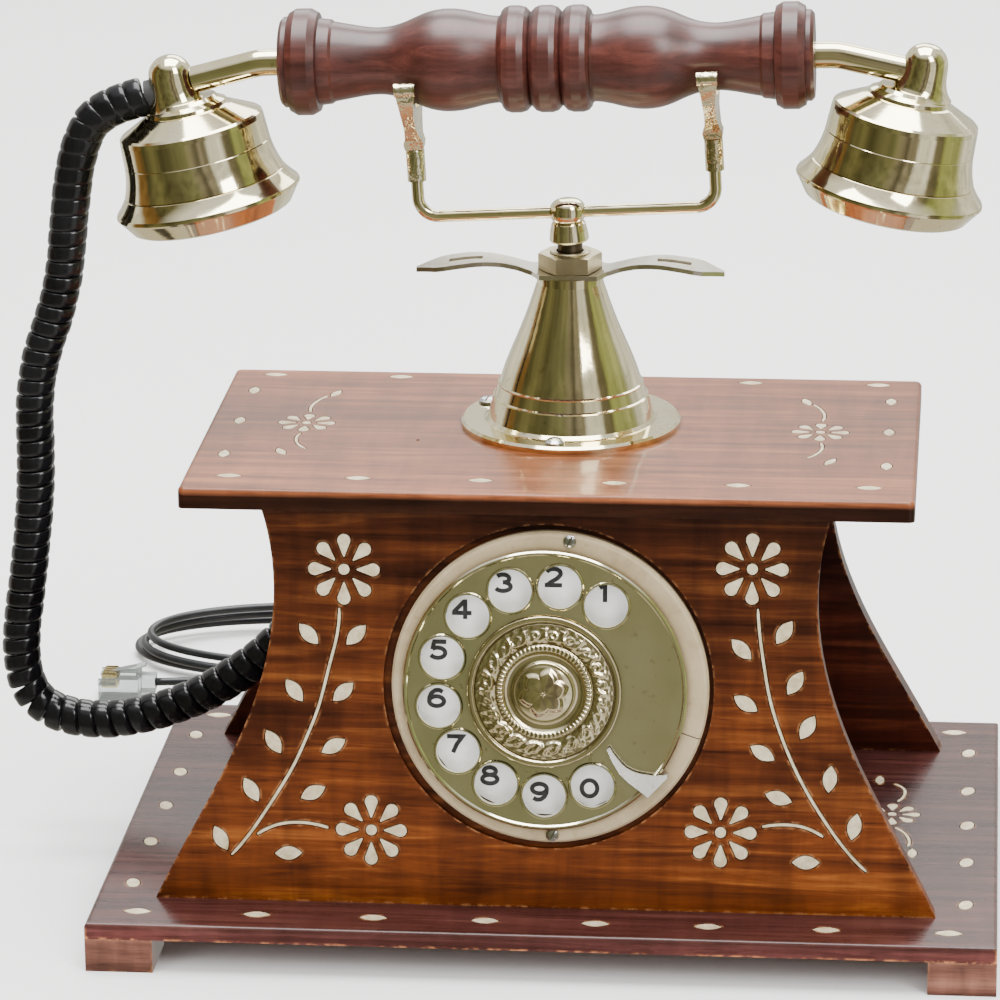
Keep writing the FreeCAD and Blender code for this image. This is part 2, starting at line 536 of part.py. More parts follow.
# finger stop: curved hook that reaches over the wheel from the bezel
arm = [(17.5, 45.7), (18.2, 46.3), (19.2, 44.7), (20.4, 43.1), (21.6, 41.7), (23.0, 40.5), (24.8, 39.6), (26.6, 39.1), (30.1, 38.7), (33.9, 38.9), (33.9, 38.2),
       (28.7, 32.7), (26.3, 34.6), (23.7, 36.5), (21.0, 39.0), (19.2, 42.0)]
arm = [(x, y + 0.3) for x, y in arm]
stop = prism(arm, 4.6, 5.6)
foot_s = prism([(31.6, 36.6), (33.9, 38.9), (33.9, 39.2), (32.7, 38.8), (30.5, 36.5), (30.8, 35.8)], 1.4, 4.7)
stop = stop.fuse(foot_s).cut(bez).removeSplitter()
save("finger_stop", front(solid_of(stop)))

# ---------------------------------------------------------------- pedestal, wing bar, nut
ped = revolve([(4.2, 0), (30.7, 0), (30.7, 1.3), (30.0, 2.0), (24.2, 2.0), (23.2, 2.9), (22.6, 5.0), (21.6, 8.2), (21.7, 8.6), (21.2, 8.9), (20.2, 11.8), (20.3, 12.2),
               (19.8, 12.5), (17.3, 19.8), (14.9, 25.5), (12.7, 31.0), (10.6, 37.0), (9.3, 41.0), (9.3, 43.4), (4.2, 43.4)],
              (AX, AY, TOP_Z), smooth=[(12, 17)])
ped_s = []
for (x, y), a in zip(ped_screws, (20, 75, 130)):
    h = revolve([(0, -4.5), (1.2, -4.5), (1.2, 2.0), (2.7, 2.0), (2.7, 2.6), (1.9, 3.3), (0, 3.6)], (x, y, TOP_Z))
    ped = ped.cut(cyl((x, y, TOP_Z - 1), (0, 0, 1), 1.2, 5))
    ped_s.append(solid_of(h.cut(about(box(x - 3, x + 3, y - 0.3, y + 0.3, TOP_Z + 3.0, TOP_Z + 4), (x, y, 0), (0, 0, 1), a))))
save("pedestal", solid_of(ped))
save("pedestal_screws", compound(ped_s))

BAR_Z = TOP_Z + 43.4


BAR_PLAN = [(0, 8.6), (8.0, 8.0), (10.5, 4.6), (14.0, 3.9), (19.0, 4.3), (24.0, 5.4), (29.0, 6.3), (34.5, 6.5), (37.0, 5.9), (42.9, 0.7)]   # half width along an arm
BAR_RISE = [(0, 0.0), (9.5, 0.1), (14.0, 1.3), (20.0, 2.5), (26.0, 2.7), (32.0, 2.0), (38.0, 0.9), (43.2, -0.4)]                           # height along an arm
outl = [(AX + x, AY - w) for x, w in BAR_PLAN] + [(AX + x, AY + w) for x, w in BAR_PLAN[::-1]] + \
       [(AX - x, AY + w) for x, w in BAR_PLAN[1:]] + [(AX - x, AY - w) for x, w in BAR_PLAN[::-1][:-1]]
bar = prism(outl, BAR_Z - 6, BAR_Z + 6)


def bar_edge(dz):
    c = Part.BSplineCurve()
    c.interpolate([V(AX - x, AY - 12, BAR_Z + z + dz) for x, z in BAR_RISE[:0:-1]] + [V(AX + x, AY - 12, BAR_Z + z + dz) for x, z in BAR_RISE])
    return c


lo_e, hi_e = bar_edge(0.0), bar_edge(1.3)
q = [c.value(t) for c in (lo_e, hi_e) for t in (c.FirstParameter, c.LastParameter)]
prof = Part.Wire(Part.__sortEdges__([lo_e.toShape(), Part.LineSegment(q[1], q[3]).toShape(), hi_e.toShape(), Part.LineSegment(q[2], q[0]).toShape()]))
bar = Part.Face(prof).extrude(V(0, 24, 0)).common(bar)
bar = bar.cut(compound([cyl((AX, AY, BAR_Z - 6), (0, 0, 1), 9.6, 6), cyl((AX, AY, BAR_Z + 1.3), (0, 0, 1), 9.2, 6)]))
bar = bar.cut(cyl((AX, AY, BAR_Z - 8), (0, 0, 1), 3.9, 16))
for s in (-1, 1):
    bar = bar.cut(box(AX + s * 29.0 - 4.7, AX + s * 29.0 + 4.7, AY - 1.5, AY + 1.5, BAR_Z - 6, BAR_Z + 6))
save("wing_bar", solid_of(bar))
NUT_Z = BAR_Z + 1.3
nut = prism([(AX + 8.9 * math.cos(math.radians(60 * i + 8)), AY + 8.9 * math.sin(math.radians(60 * i + 8))) for i in range(6)], NUT_Z, NUT_Z + 4.6)
nut = nut.common(revolve([(0, -1), (12, -1), (12, 3.4), (8.0, 4.6), (0, 4.6)], (AX, AY, NUT_Z)))
nut = nut.cut(cyl((AX, AY, NUT_Z - 1), (0, 0, 1), 3.9, 8))
save("hex_nut", solid_of(nut))
save("top_washer", revolve([(3.9, 0), (5.6, 0), (5.6, 0.3), (5.2, 0.6), (3.9, 0.6)], (AX, AY, NUT_Z + 4.6)))

# ---------------------------------------------------------------- cradle
HUBX = 1.4


def crad(shape):
    s = shape.copy()
    s.translate(V(HUBX, AY, HUB_Z))
    s.rotate(V(HUBX, AY, HUB_Z), V(0, 1, 0), -CRADLE_TILT)
    return s


ROD_LOW = 113.0
rod = revolve([(0, ROD_LOW), (2.8, ROD_LOW), (3.5, ROD_LOW + 0.8), (3.5, HUB_Z - 6.0), (0, HUB_Z - 6.0)], (AX, AY, 0))
hub = revolve([(0, -8.2), (5.2, -8.2), (5.5, -7.7), (5.2, -5.2), (4.7, -3.2), (4.1, -2.7), (4.5, -2.1), (4.95, -0.9), (5.05, 0.2), (4.8, 1.6), (4.0, 2.8), (2.4, 3.6), (0, 3.8)],
              smooth=[(5, 12)])
hub = hub.cut(cyl((-12, 0, 0), (1, 0, 0), ROD_R, 24))
hub = crad(hub).cut(rod)
save("plunger_rod", rod)
save("cradle_hub", solid_of(hub))


def tube_path(points, r, radii=None, report=None):
    """Round rod along straight runs joined by tangent arcs; returns the solid and its length."""
    pts = [V(*p) for p in points]
    edges, length, last, rr = [], 0.0, pts[0], []
    for i in range(1, len(pts) - 1):
        a, b = pts[i] - pts[i - 1], pts[i + 1] - pts[i]
        la, lb = a.Length, b.Length
        a.normalize()
        b.normalize()
        turn = a.getAngle(b)
        if radii:
            R = radii
        else:
            R = 0.45 * min(la, lb) / math.tan(turn / 2)
        t = R * math.tan(turn / 2)
        p0, p1 = pts[i] - a * t, pts[i] + b * t
        bis = (b - a)
        bis.normalize()
        c = pts[i] + bis * (R / math.cos(turn / 2))
        mid = c - bis * R
        edges.append(Part.LineSegment(last, p0).toShape())
        edges.append(Part.Arc(p0, mid, p1).toShape())
        length += (p0 - last).Length + R * turn
        last = p1
        rr.append(R)
    edges.append(Part.LineSegment(last, pts[-1]).toShape())
    length += (pts[-1] - last).Length
    w = Part.Wire(edges)
    d = pts[1] - pts[0]
    d.normalize()
    prof = Part.Wire([Part.Circle(pts[0], d, r).toShape()])
    s = w.makePipeShell([prof], True, False)
    if s.Volume < 0:
        s.reverse()
    if report:
        runs = [(pts[k + 1] - pts[k]).Length for k in range(len(pts) - 1)]
        print(report, "length %.1f" % length, "volume %.1f" % s.Volume, "expected %.1f" % (math.pi * r * r * length),
              "least radius %.1f" % min(rr), "runs %.0f-%.0f" % (min(runs), max(runs)))
        print("   radii", [round(x, 1) for x in rr])
        print("   turns", [round(math.degrees((pts[k + 1] - pts[k]).getAngle(pts[k + 2] - pts[k + 1]))) for k in range(len(pts) - 2)],
              "run ratios", [round(max(p, q) / min(p, q), 2) for p, q in zip(runs, runs[1:])])
    return s, length


xr, _ = tube_path([(-FORK_X, 0, 19.6), (-FORK_X, 0, 0.0), (FORK_X, 0, 0.0), (FORK_X, 0, 19.6)], ROD_R, radii=5.5)
save("cross_rod", crad(xr))
sleeves = []
for side, n in ((-1, "left"), (1, "right")):
    sl = revolve([(ROD_R, 10.4), (2.6, 10.4), (2.6, 19.2), (2.3, 19.6), (ROD_R, 19.6)], (side * FORK_X, 0, 0))
    sleeves.append(crad(sl))
    # fork casting: profile in the (y, z) plane
    inner = []
    for i in range(13):
        a = math.radians(200 + (340 - 200) * i / 12.0)
        inner.append((13.3 * math.cos(a), 44.6 + 13.3 * math.sin(a)))
    prof = [(-2.6, 19.6), (-3.4, 22.5), (-8.2, 26.6), (-12.9, 31.4), (-15.0, 36.0), (-15.6, 39.6)] + inner + \
           [(15.6, 39.6), (15.0, 36.0), (12.9, 31.4), (8.2, 26.6), (3.4, 22.5), (2.6, 19.6)]
    w = Part.makePolygon([V(-3.2, y, z) for y, z in prof + prof[:1]])
    fk_ = Part.Face(w).extrude(V(6.4, 0, 0))
    # drawn in at the waist of each tine, wider at the tips and at the socket
    hw = [(19.5, 2.5), (21.4, 2.8), (23.2, 2.1), (27.0, 1.6), (31.0, 1.7), (35.0, 2.1), (38.0, 2.6), (43.0, 2.6)]
    w = Part.makePolygon([V(x, -30, z) for z, x in hw] + [V(-x, -30, z) for z, x in hw[::-1]] + [V(hw[0][1], -30, hw[0][0])])
    fk_ = fk_.common(Part.Face(w).extrude(V(0, 60, 0)))
    # rolled tips
    for sy in (-1, 1):
        fk_ = fk_.fuse(cyl((-2.8, sy * 14.7, 39.5), (1, 0, 0), 1.9, 5.6))
    fk_ = fk_.cut(cyl((-6, 0, 44.6), (1, 0, 0), 13.25, 12)).removeSplitter()
    fk_.translate(V(side * FORK_X, 0, 0))
    save("fork_" + n, crad(solid_of(fk_)))
save("fork_sleeves", compound(sleeves))

# ---------------------------------------------------------------- handset
def hs(shape):
    s = shape.copy()
    s.translate(V(HS_X, AY, HS_Z))
    s.rotate(V(HS_X, AY, HS_Z), V(0, 1, 0), -HS_TILT)
    return s


half = [(73.3, 2.6), (73.3, 11.6), (72.4, 12.5), (71.2, 12.5), (70.9, 13.6), (69.0, 14.7), (64.9, 14.7), (62.9, 13.6), (62.5, 12.0), (59.4, 11.6), (58.6, 11.0)]
neck = [(58.6, 11.0), (52.0, 9.8), (45.4, 9.25), (39.5, 10.5), (33.5, 13.0), (27.8, 14.1), (22.0, 13.6), (16.5, 12.3), (13.1, 11.9)]
rings = [(12.4, 12.4), (12.2, 13.3), (11.4, 14.2), (9.9, 14.7), (7.3, 14.7), (5.6, 14.2), (4.7, 13.3), (4.3, 12.7), (3.9, 13.3), (3.0, 14.2), (1.5, 14.7)]
pts = half[:-1] + neck + rings
prof = [(r, u) for u, r in pts] + [(r, -u) for u, r in pts[::-1]]
k0 = len(half) - 1
k1 = k0 + len(neck) - 1
n = len(prof)
hnd = revolve(prof, (0, 0, 0), (1, 0, 0), smooth=[(k0, k1), (n - 1 - k1, n - 1 - k0)])
save("handle", hs(hnd))



def cup_frame(shape, side):
    """local z from the crown towards the mouth"""
    s = shape.copy()
    s.rotate(V(0, 0, 0), V(1, 0, 0), 180)
    s.rotate(V(0, 0, 0), V(0, 1, 0), CUPS[side][2] * side)
    s.translate(V(side * CUPS[side][0], 0, CUPS[side][1]))
    return s


CUP_L = 40.0
knob_out = [(0, -1.3), (3.0, -0.7), (5.2, 1.3), (6.2, 4.6), (6.5, 7.8), (7.2, 10.4), (9.0, 13.0), (9.0, 16.0), (0, 16.0)]
shell_out = [(0, 11.6), (8.6, 11.6), (9.4, 12.6), (11.2, 13.5), (11.6, 14.5), (12.6, 14.8), (19.6, 18.4), (20.2, 19.0),
             (20.4, 20.3), (20.7, 26.6), (20.55, 26.8), (20.7, 27.0), (21.4, 31.5), (22.6, 35.2), (22.4, 35.45), (22.8, 35.7), (24.4, 38.0), (25.8, 39.6), (25.8, 40.0)]
shell_in = [(23.6, 40.0), (21.0, 34.0), (19.2, 28.0), (18.6, 21.0), (17.6, 19.0), (8.0, 16.6), (0, 16.2)]
for side, n in ((-1, "transmitter"), (1, "receiver")):
    cup = revolve(shell_out + shell_in, smooth=[(11, 13), (15, 17)])
    cup = cup.fuse(revolve(knob_out, (side * KNOB_OFF, 0, 0), smooth=[(0, 6)])).removeSplitter()
    cap = revolve([(0, 40.0), (26.0, 40.0), (26.1, 40.6), (25.6, 41.2), (22.6, 45.4), (21.4, 46.0), (17.0, 45.6), (15.6, 45.0), (0, 44.4)])
    cap = cap.cut(revolve([(0, 39), (20.5, 39), (20.5, 42.0), (0, 42.0)]))
    for i in range(6):
        a = math.radians(60 * i + 30)
        cap = cap.cut(cyl((7.0 * math.cos(a), 7.0 * math.sin(a), 40), (0, 0, 1), 1.0, 8))
    cap = cap.cut(cyl((0, 0, 40), (0, 0, 1), 1.0, 8))
    caps = revolve([(0, 33.0), (17.5, 33.0), (17.5, 36.5), (20.3, 36.5), (20.3, 41.8), (0, 41.8)])
    crown = cup_frame(cup, side)
    # bent tube joins handle end and crown
    e0 = (side * 73.3, 0, 0.0)
    arm_s, _ = tube_path([e0, (side * 79.5, 0, 0.0), (side * 98.4, 0, -4.6)], 3.7, radii=18.0)
    crown = crown.cut(arm_s)
    save(n + "_arm", hs(arm_s))
    shell_w = hs(solid_of(crown))
    if side < 0:
        # the curly cord's end sits in a shallow socket in the knob
        shell_w = solid_of(shell_w.cut(cyl((-115.2, AY, 221.3), (-13.6, 0, -3.2), CORD_OD / 2 + 0.15, 12.0)))
    save(n + "_shell", shell_w)
    save(n + "_cap", hs(cup_frame(solid_of(cap), side)))
    save(n + "_capsule", hs(cup_frame(caps, side)))

# ---------------------------------------------------------------- curly cord and its glands
# cord leaves the transmitter crown to the left, hangs in a long bow and enters the left side wall
CY_ = AY
CURL = [(-115.2, 221.3), (-128.8, 218.1), (-135.2, 206.3), (-138.0, 190.0), (-140.6, 165.0), (-150.4, 139.5), (-150.2, 110.0), (-153.4, 83.0),
        (-157.8, 56.0), (-153.0, 40.2), (-134.0, 35.6), (-109.0, 42.2), (-88.5, 55.5), (-76.5, 68.0), (-62.5, 75.2)]
U = [(x, CY_, z) for x, z in CURL]
d0 = V(*U[0]) - V(*U[1])
d0.normalize()
# split half way along a straight run
SPLIT = 5
mid = tuple((a + b) / 2 for a, b in zip(U[SPLIT], U[SPLIT + 1]))
cu, lu = tube_path(U[:SPLIT + 1] + [mid], CORD_OD / 2, report="curly_cord_upper")
cl, ll = tube_path([mid] + U[SPLIT + 1:], CORD_OD / 2, report="curly_cord_lower")
save("curly_cord_upper", cu)
save("curly_cord_lower", cl)
gl = revolve([(0, -7.0), (4.3, -7.0), (4.3, 0.0), (0, 0.0)], U[0], tuple(-d0))
gl.translate(d0 * 0.0)
gland_h = gl.cut(NODES["transmitter_shell"])
gland_h = sorted(gland_h.Solids, key=lambda s: s.BoundBox.XMin)[0]
save("handset_gland", gland_h)
# grommet in the side wall, bored for the cord's own direction
d1 = V(*U[-1]) - V(*U[-2])
d1.normalize()
grom = revolve([(0, -3.0), (9.0, -3.0), (9.0, 0.0), (7.0, 0.0), (7.0, WALL_T), (0, WALL_T)], (-WALL_X, GROM_Y, GROM_Z), (1, 0, 0))
seat = Part.makeCylinder(CORD_OD / 2, 30, V(*U[-1]) - d1 * 30, d1)
grom = grom.cut(seat)
save("cord_grommet", solid_of(grom))

# ---------------------------------------------------------------- line cord
gland = revolve([(0, -BOARD_T), (3.0, -BOARD_T), (3.0, 0), (5.2, 0), (5.2, 1.6), (2.6, 3.6), (2.2, 6.0), (0, 6.0)], (GLX, GLS, 0))
save("line_gland", rear(gland))
gp = rear(Part.Vertex(GLX, GLS, 6.0)).Point
gn = V(0, math.cos(B), math.sin(B))

# loose coil behind the case: three turns lying on each other, then the end runs to the plug
L = [tuple(gp), tuple(gp + gn * 22.0), (-63.0, 121.0, 22.5), (-66.0, 146.0, 17.0), (-68.0, 171.0, 14.0), (-67.0, 195.0, 13.0),
     (-56.0, 215.0, 6.6), (-39.0, 213.0, 2.0), (-30.0, 197.0, 1.35)]
TURNS = [(-92.0, 176.0, 60.0, 30.0), (-98.0, 165.0, 54.0, 27.0), (-94.0, 168.0, 52.0, 27.0), (-95.0, 164.0, 53.0, 27.0)]
RISE = 3.0
STEPS = 12
for i in range(3 * STEPS + 3):
    u = i / float(STEPS)
    k = min(int(u), 2)
    f = u - k
    cx, cy, a_, b_ = [p + (q - p) * f for p, q in zip(TURNS[k], TURNS[k + 1])]
    t = -2 * math.pi * u
    L.append((cx + a_ * math.cos(t), cy + b_ * math.sin(t), 1.35 + RISE * u))
L += [(-87.0, 135.0, 8.3), (-108.0, 133.5, 6.0), (-124.0, 132.2, 4.6), (-138.5, 131.6, 4.2)]
lc, ll2 = tube_path(L, LINE_D / 2, report="line_cord")
save("line_cord", lc)
px, py, pz = L[-1]
pdx, pdy = L[-1][0] - L[-2][0], L[-1][1] - L[-2][1]
pang = math.degrees(math.atan2(pdy, pdx))
plug = box(0, 12.5, -5.9, 5.9, -4.2, 2.6).fuse(box(-5.0, 0, -3.4, 3.4, -2.4, 2.2))
plug = plug.cut(box(7.0, 13, -4.6, 4.6, 0.4, 3.0))
latch = prism([(1.0, 2.4), (12.2, 2.4), (12.2, 3.0), (1.0, 5.4), (-2.0, 6.2), (-2.2, 5.6), (1.0, 4.4)], -1.6, 1.6)
latch.rotate(V(0, 0, 0), V(1, 0, 0), 90)
plug = plug.fuse(latch).removeSplitter()
plug.translate(V(5.0, 0, 0))
plug.rotate(V(0, 0, 0), V(0, 0, 1), pang)
plug.translate(V(px, py, pz))
save("line_plug", solid_of(plug))

# ---------------------------------------------------------------- inside the case
LP = (AX - 20.0, AY, 108.0)
br = box(LP[0] - 8, LP[0] + 6, AY - 9, AY - 5, 100, BODY_TOP).fuse([box(LP[0] - 8, LP[0] + 6, AY + 5, AY + 9, 100, BODY_TOP), box(LP[0] - 8, LP[0] - 5, AY - 9, AY + 9, 100, BODY_TOP),
                                                                 box(LP[0] - 14, LP[0] - 8, AY - 9, AY + 9, 96, 116)]).removeSplitter()
br = br.cut(cyl((LP[0], AY - 12, LP[2]), (0, 1, 0), 1.25, 24))
save("hook_switch", solid_of(br))
lev = box(LP[0] - 1.5, LP[0] + 24.5, AY - 3.5, AY + 3.5, 111.2, 112.5).fuse([box(LP[0] - 1.5, LP[0] + 1.5, AY - 3.5, AY + 3.5, 106.5, 112.0), cyl((LP[0], AY - 8.5, LP[2]), (0, 1, 0), 1.2, 17)]).removeSplitter()
save("hook_lever", solid_of(lev))

gongs, posts = [], []
for s in (-1, 1):
    g = revolve([(2.0, 30.0), (7.0, 30.0), (14.0, 28.0), (18.5, 23.5), (20.0, 18.0), (18.8, 18.0), (17.4, 22.9), (13.4, 26.9), (6.8, 28.8), (2.0, 28.8)], (s * 24.0, 20.0, BASE_TOP), smooth=[(1, 4), (5, 8)])
    gongs.append(g)
    posts.append(revolve([(0, 0), (5, 0), (5, 3), (2.0, 4), (2.0, 28.8), (2.0, 30.0), (3.4, 30.0), (3.4, 31.8), (0, 32.4)], (s * 24.0, 20.0, BASE_TOP)))
save("ringer_gongs", compound(gongs))
save("ringer_posts", compound(posts))
coil = box(-16, 16, 40, 55, BASE_TOP, BASE_TOP + 3).fuse([cyl((-9, 47.5, BASE_TOP + 3), (0, 0, 1), 6.0, 20), cyl((9, 47.5, BASE_TOP + 3), (0, 0, 1), 6.0, 20), box(-2.4, 2.4, 44, 51, BASE_TOP + 2.5, BASE_TOP + 13)]).removeSplitter()
coil = coil.cut(cyl((0, 47.5, BASE_TOP + 7), (0, 0, 1), 1.05, 20))
save("ringer_coil", solid_of(coil))
clap = box(-0.8, 0.8, 22.0, 47.5, BASE_TOP + 18.6, BASE_TOP + 20.0).fuse([Part.makeSphere(2.0, V(0, 21.0, BASE_TOP + 19.3)), cyl((0, 47.5, BASE_TOP + 8), (0, 0, 1), 1.0, 12), cyl((0, 47.5, BASE_TOP + 18.2), (0, 0, 1), 2.4, 2.2)]).removeSplitter()
save("ringer_clapper", solid_of(clap))
save("circuit_board", box(-58, 24, -14, -12.4, 18, 62).fuse(box(-40, 10, -16, -14, BASE_TOP, 22)).removeSplitter())
comps = [box(-50, -38, -23, -14, 40, 52), box(-30, -24, -20, -14, 26, 34), box(-18, -12, -20, -14, 26, 34), cyl((0, -14, 46), (0, -1, 0), 4.5, 9), cyl((14, -14, 30), (0, -1, 0), 3.5, 8), box(-8, 18, -17.5, -14, 53.0, 59.0)]
save("board_components", compound(comps))
lo = [1e9] * 3
hi = [-1e9] * 3
for nme, s in NODES.items():
    if not s.isValid():
        print("INVALID", nme)
    if any(k in nme for k in ("curly", "line_cord", "plug")):
        continue
    b = s.BoundBox
    lo = [min(p, q) for p, q in zip(lo, (b.XMin, b.YMin, b.ZMin))]
    hi = [max(p, q) for p, q in zip(hi, (b.XMax, b.YMax, b.ZMax))]
print(len(NODES), "nodes; box", [round(v, 2) for v in lo], [round(v, 2) for v in hi])
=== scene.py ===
import math
import random

import bpy
import numpy as np
from mathutils import Matrix, Vector


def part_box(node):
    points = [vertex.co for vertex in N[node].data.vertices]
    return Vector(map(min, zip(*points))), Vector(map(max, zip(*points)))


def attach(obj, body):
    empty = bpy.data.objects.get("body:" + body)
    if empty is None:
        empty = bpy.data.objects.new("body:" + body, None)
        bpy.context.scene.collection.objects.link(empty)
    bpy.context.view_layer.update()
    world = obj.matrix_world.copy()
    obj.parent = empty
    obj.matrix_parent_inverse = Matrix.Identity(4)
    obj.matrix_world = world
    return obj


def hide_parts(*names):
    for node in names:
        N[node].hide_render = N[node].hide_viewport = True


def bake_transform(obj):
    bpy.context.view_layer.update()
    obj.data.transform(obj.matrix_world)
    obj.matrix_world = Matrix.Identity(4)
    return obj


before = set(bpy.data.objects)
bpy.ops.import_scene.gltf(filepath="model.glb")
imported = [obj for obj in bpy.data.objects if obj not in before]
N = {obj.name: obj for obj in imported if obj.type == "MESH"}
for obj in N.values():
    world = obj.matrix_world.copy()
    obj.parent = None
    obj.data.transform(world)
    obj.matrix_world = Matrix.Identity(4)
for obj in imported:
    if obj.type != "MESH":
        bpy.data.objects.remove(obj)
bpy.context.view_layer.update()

random.seed(7)
MM = 0.001
B = math.radians(7.1)                      # lean of the front board
DIAL = (0.0004, 0.0614)                      # dial centre in the front board's own plane


def front_point(x, s, n=0.0):
    """x right, s up the front board, n outwards, in metres -> row frame"""
    return Vector((x, -0.067 + s * math.sin(B) - n * math.cos(B), 0.014 + s * math.cos(B) + n * math.sin(B)))


FRONT = Matrix(((1, 0, 0, 0), (0, math.sin(B), -math.cos(B), -0.067), (0, math.cos(B), math.sin(B), 0.014), (0, 0, 0, 1)))

# ------------------------------------------------------------------ camera
cam_data = bpy.data.cameras.new("camera")
cam = bpy.data.objects.new("camera", cam_data)
bpy.context.scene.collection.objects.link(cam)
yaw, pitch, roll = math.radians(5.52), math.radians(17.93), math.radians(-0.56)
back = Vector((math.sin(yaw) * math.cos(pitch), -math.cos(yaw) * math.cos(pitch), math.sin(pitch)))
right = (-back).cross(Vector((0, 0, 1))).normalized()
up = right.cross(-back)
r2 = right * math.cos(roll) + up * math.sin(roll)
u2 = -right * math.sin(roll) + up * math.cos(roll)
loc = Vector((-0.01723, 0, 0.10896)) + back * 1.44106
cam.matrix_world = Matrix(((r2.x, u2.x, back.x, loc.x), (r2.y, u2.y, back.y, loc.y), (r2.z, u2.z, back.z, loc.z), (0, 0, 0, 1)))
cam_data.sensor_width = 36.0
cam_data.lens = 5147.36 * 36.0 / 1000.0
cam_data.clip_start = 0.05
cam_data.clip_end = 30
bpy.context.scene.camera = cam


# ------------------------------------------------------------------ mesh helpers
def obj_from(name, verts, faces, smooth=True):
    me = bpy.data.meshes.new(name)
    me.from_pydata([tuple(v) for v in verts], [], faces)
    me.validate()
    me.update()
    if smooth:
        me.polygons.foreach_set("use_smooth", [True] * len(me.polygons))
    ob = bpy.data.objects.new(name, me)
    bpy.context.scene.collection.objects.link(ob)
    return ob


def route_curve(name, pts, resolution=12):
    c = bpy.data.curves.new(name, "CURVE")
    c.dimensions = "3D"
    c.resolution_u = resolution
    s = c.splines.new("NURBS")
    s.points.add(len(pts) - 1)
    for p, q in zip(s.points, pts):
        p.co = (q[0], q[1], q[2], 1.0)
    s.order_u = 3
    s.use_endpoint_u = True
    ob = bpy.data.objects.new(name, c)
    bpy.context.scene.collection.objects.link(ob)
    return ob


def line_of(ob):
    """Points along a bevel-less curve."""
    dg = bpy.context.evaluated_depsgraph_get()
    me = bpy.data.meshes.new_from_object(ob.evaluated_get(dg))
    pts = np.array([v.co[:] for v in me.vertices])
    bpy.data.meshes.remove(me)
    return pts


def frames_along(p):
    t = np.gradient(p, axis=0)
    t /= np.linalg.norm(t, axis=1)[:, None]
    n = np.zeros_like(t)
    a = np.array([0, 1.0, 0.0])
    a = a - t[0] * (a @ t[0])
    n[0] = a / np.linalg.norm(a)
    for i in range(1, len(p)):
        v = n[i - 1] - t[i] * (n[i - 1] @ t[i])
        n[i] = v / np.linalg.norm(v)
    return t, n, np.cross(t, n)


# ------------------------------------------------------------------ cords
CURL = [(-115.2, 221.3), (-128.8, 218.1), (-135.2, 206.3), (-138.0, 190.0), (-140.6, 165.0), (-150.4, 139.5), (-150.2, 110.0), (-153.4, 83.0),
        (-157.8, 56.0), (-153.0, 40.2), (-134.0, 35.6), (-109.0, 42.2), (-88.5, 55.5), (-76.5, 68.0), (-62.5, 75.2)]
CORD_OD = 0.0110
curl_route = [(x * MM, 0.010, z * MM) for x, z in CURL]
rc = route_curve("curl_route", curl_route, 40)
axis_pts = line_of(rc)
bpy.data.objects.remove(rc)
curl_len = float(np.linalg.norm(np.diff(axis_pts, axis=0), axis=1).sum())


def curly(name, pts, length, od, wire_t, pitch_top, pitch_low):
    """Helix of flat wire wound round the route."""
    t, n, b = frames_along(pts)
    m = len(pts)
    s = np.r_[0, np.cumsum(np.linalg.norm(np.diff(pts, axis=0), axis=1))]
    pitch = pitch_top + (pitch_low - pitch_top) * np.clip((s / length - 0.45) / 0.35, 0, 1)
    ph = np.r_[0, np.cumsum(2 * math.pi * np.diff(s) / pitch[1:])]
    per = 26
    k = int(ph[-1] / (2 * math.pi) * per)
    pe = np.linspace(0, ph[-1], k)
    se = np.interp(pe, ph, s)
    idx = np.interp(se, s, np.arange(m))
    def at(a):
        return np.stack([np.interp(idx, np.arange(m), a[:, j]) for j in range(3)], 1)
    P, T, NN, BB = at(pts), at(t), at(n), at(b)
    R = od / 2 - wire_t / 2
    out = NN * np.cos(pe)[:, None] + BB * np.sin(pe)[:, None]
    wob = 1 + 0.012 * np.sin(pe * 0.37) + 0.008 * np.sin(pe * 0.113 + 1.0)
    c = P + out * (R * wob)[:, None]
    wide = np.interp(se, [0.0, 0.012, 0.035, 0.06, length * 0.45, length * 0.8, length], [0.0050, 0.0056, 0.0054, 0.0045, 0.0044, 0.0051, 0.0051])
    sec = []
    q = 14
    for j in range(q):
        a = 2 * math.pi * j / q
        ca, sa = math.cos(a), math.sin(a)
        sec.append((math.copysign(abs(ca) ** 0.5, ca) / 2, math.copysign(abs(sa) ** 0.75, sa) * wire_t / 2))
    verts, faces = [], []
    for i in range(k):
        for (u, v) in sec:
            verts.append(c[i] + T[i] * (u * wide[i]) + out[i] * v)
    for i in range(k - 1):
        for j in range(q):
            a0, a1 = i * q + j, i * q + (j + 1) % q
            faces.append((a0, a1, a1 + q, a0 + q))
    faces.append(tuple(range(q))[::-1])
    faces.append(tuple((k - 1) * q + j for j in range(q)))
    return obj_from(name, verts, faces)


curl = curly("curly_handset_cord", axis_pts, curl_len, CORD_OD, 0.0024, 0.0045, 0.0052)
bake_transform(curl)
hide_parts("curly_cord_upper", "curly_cord_lower")

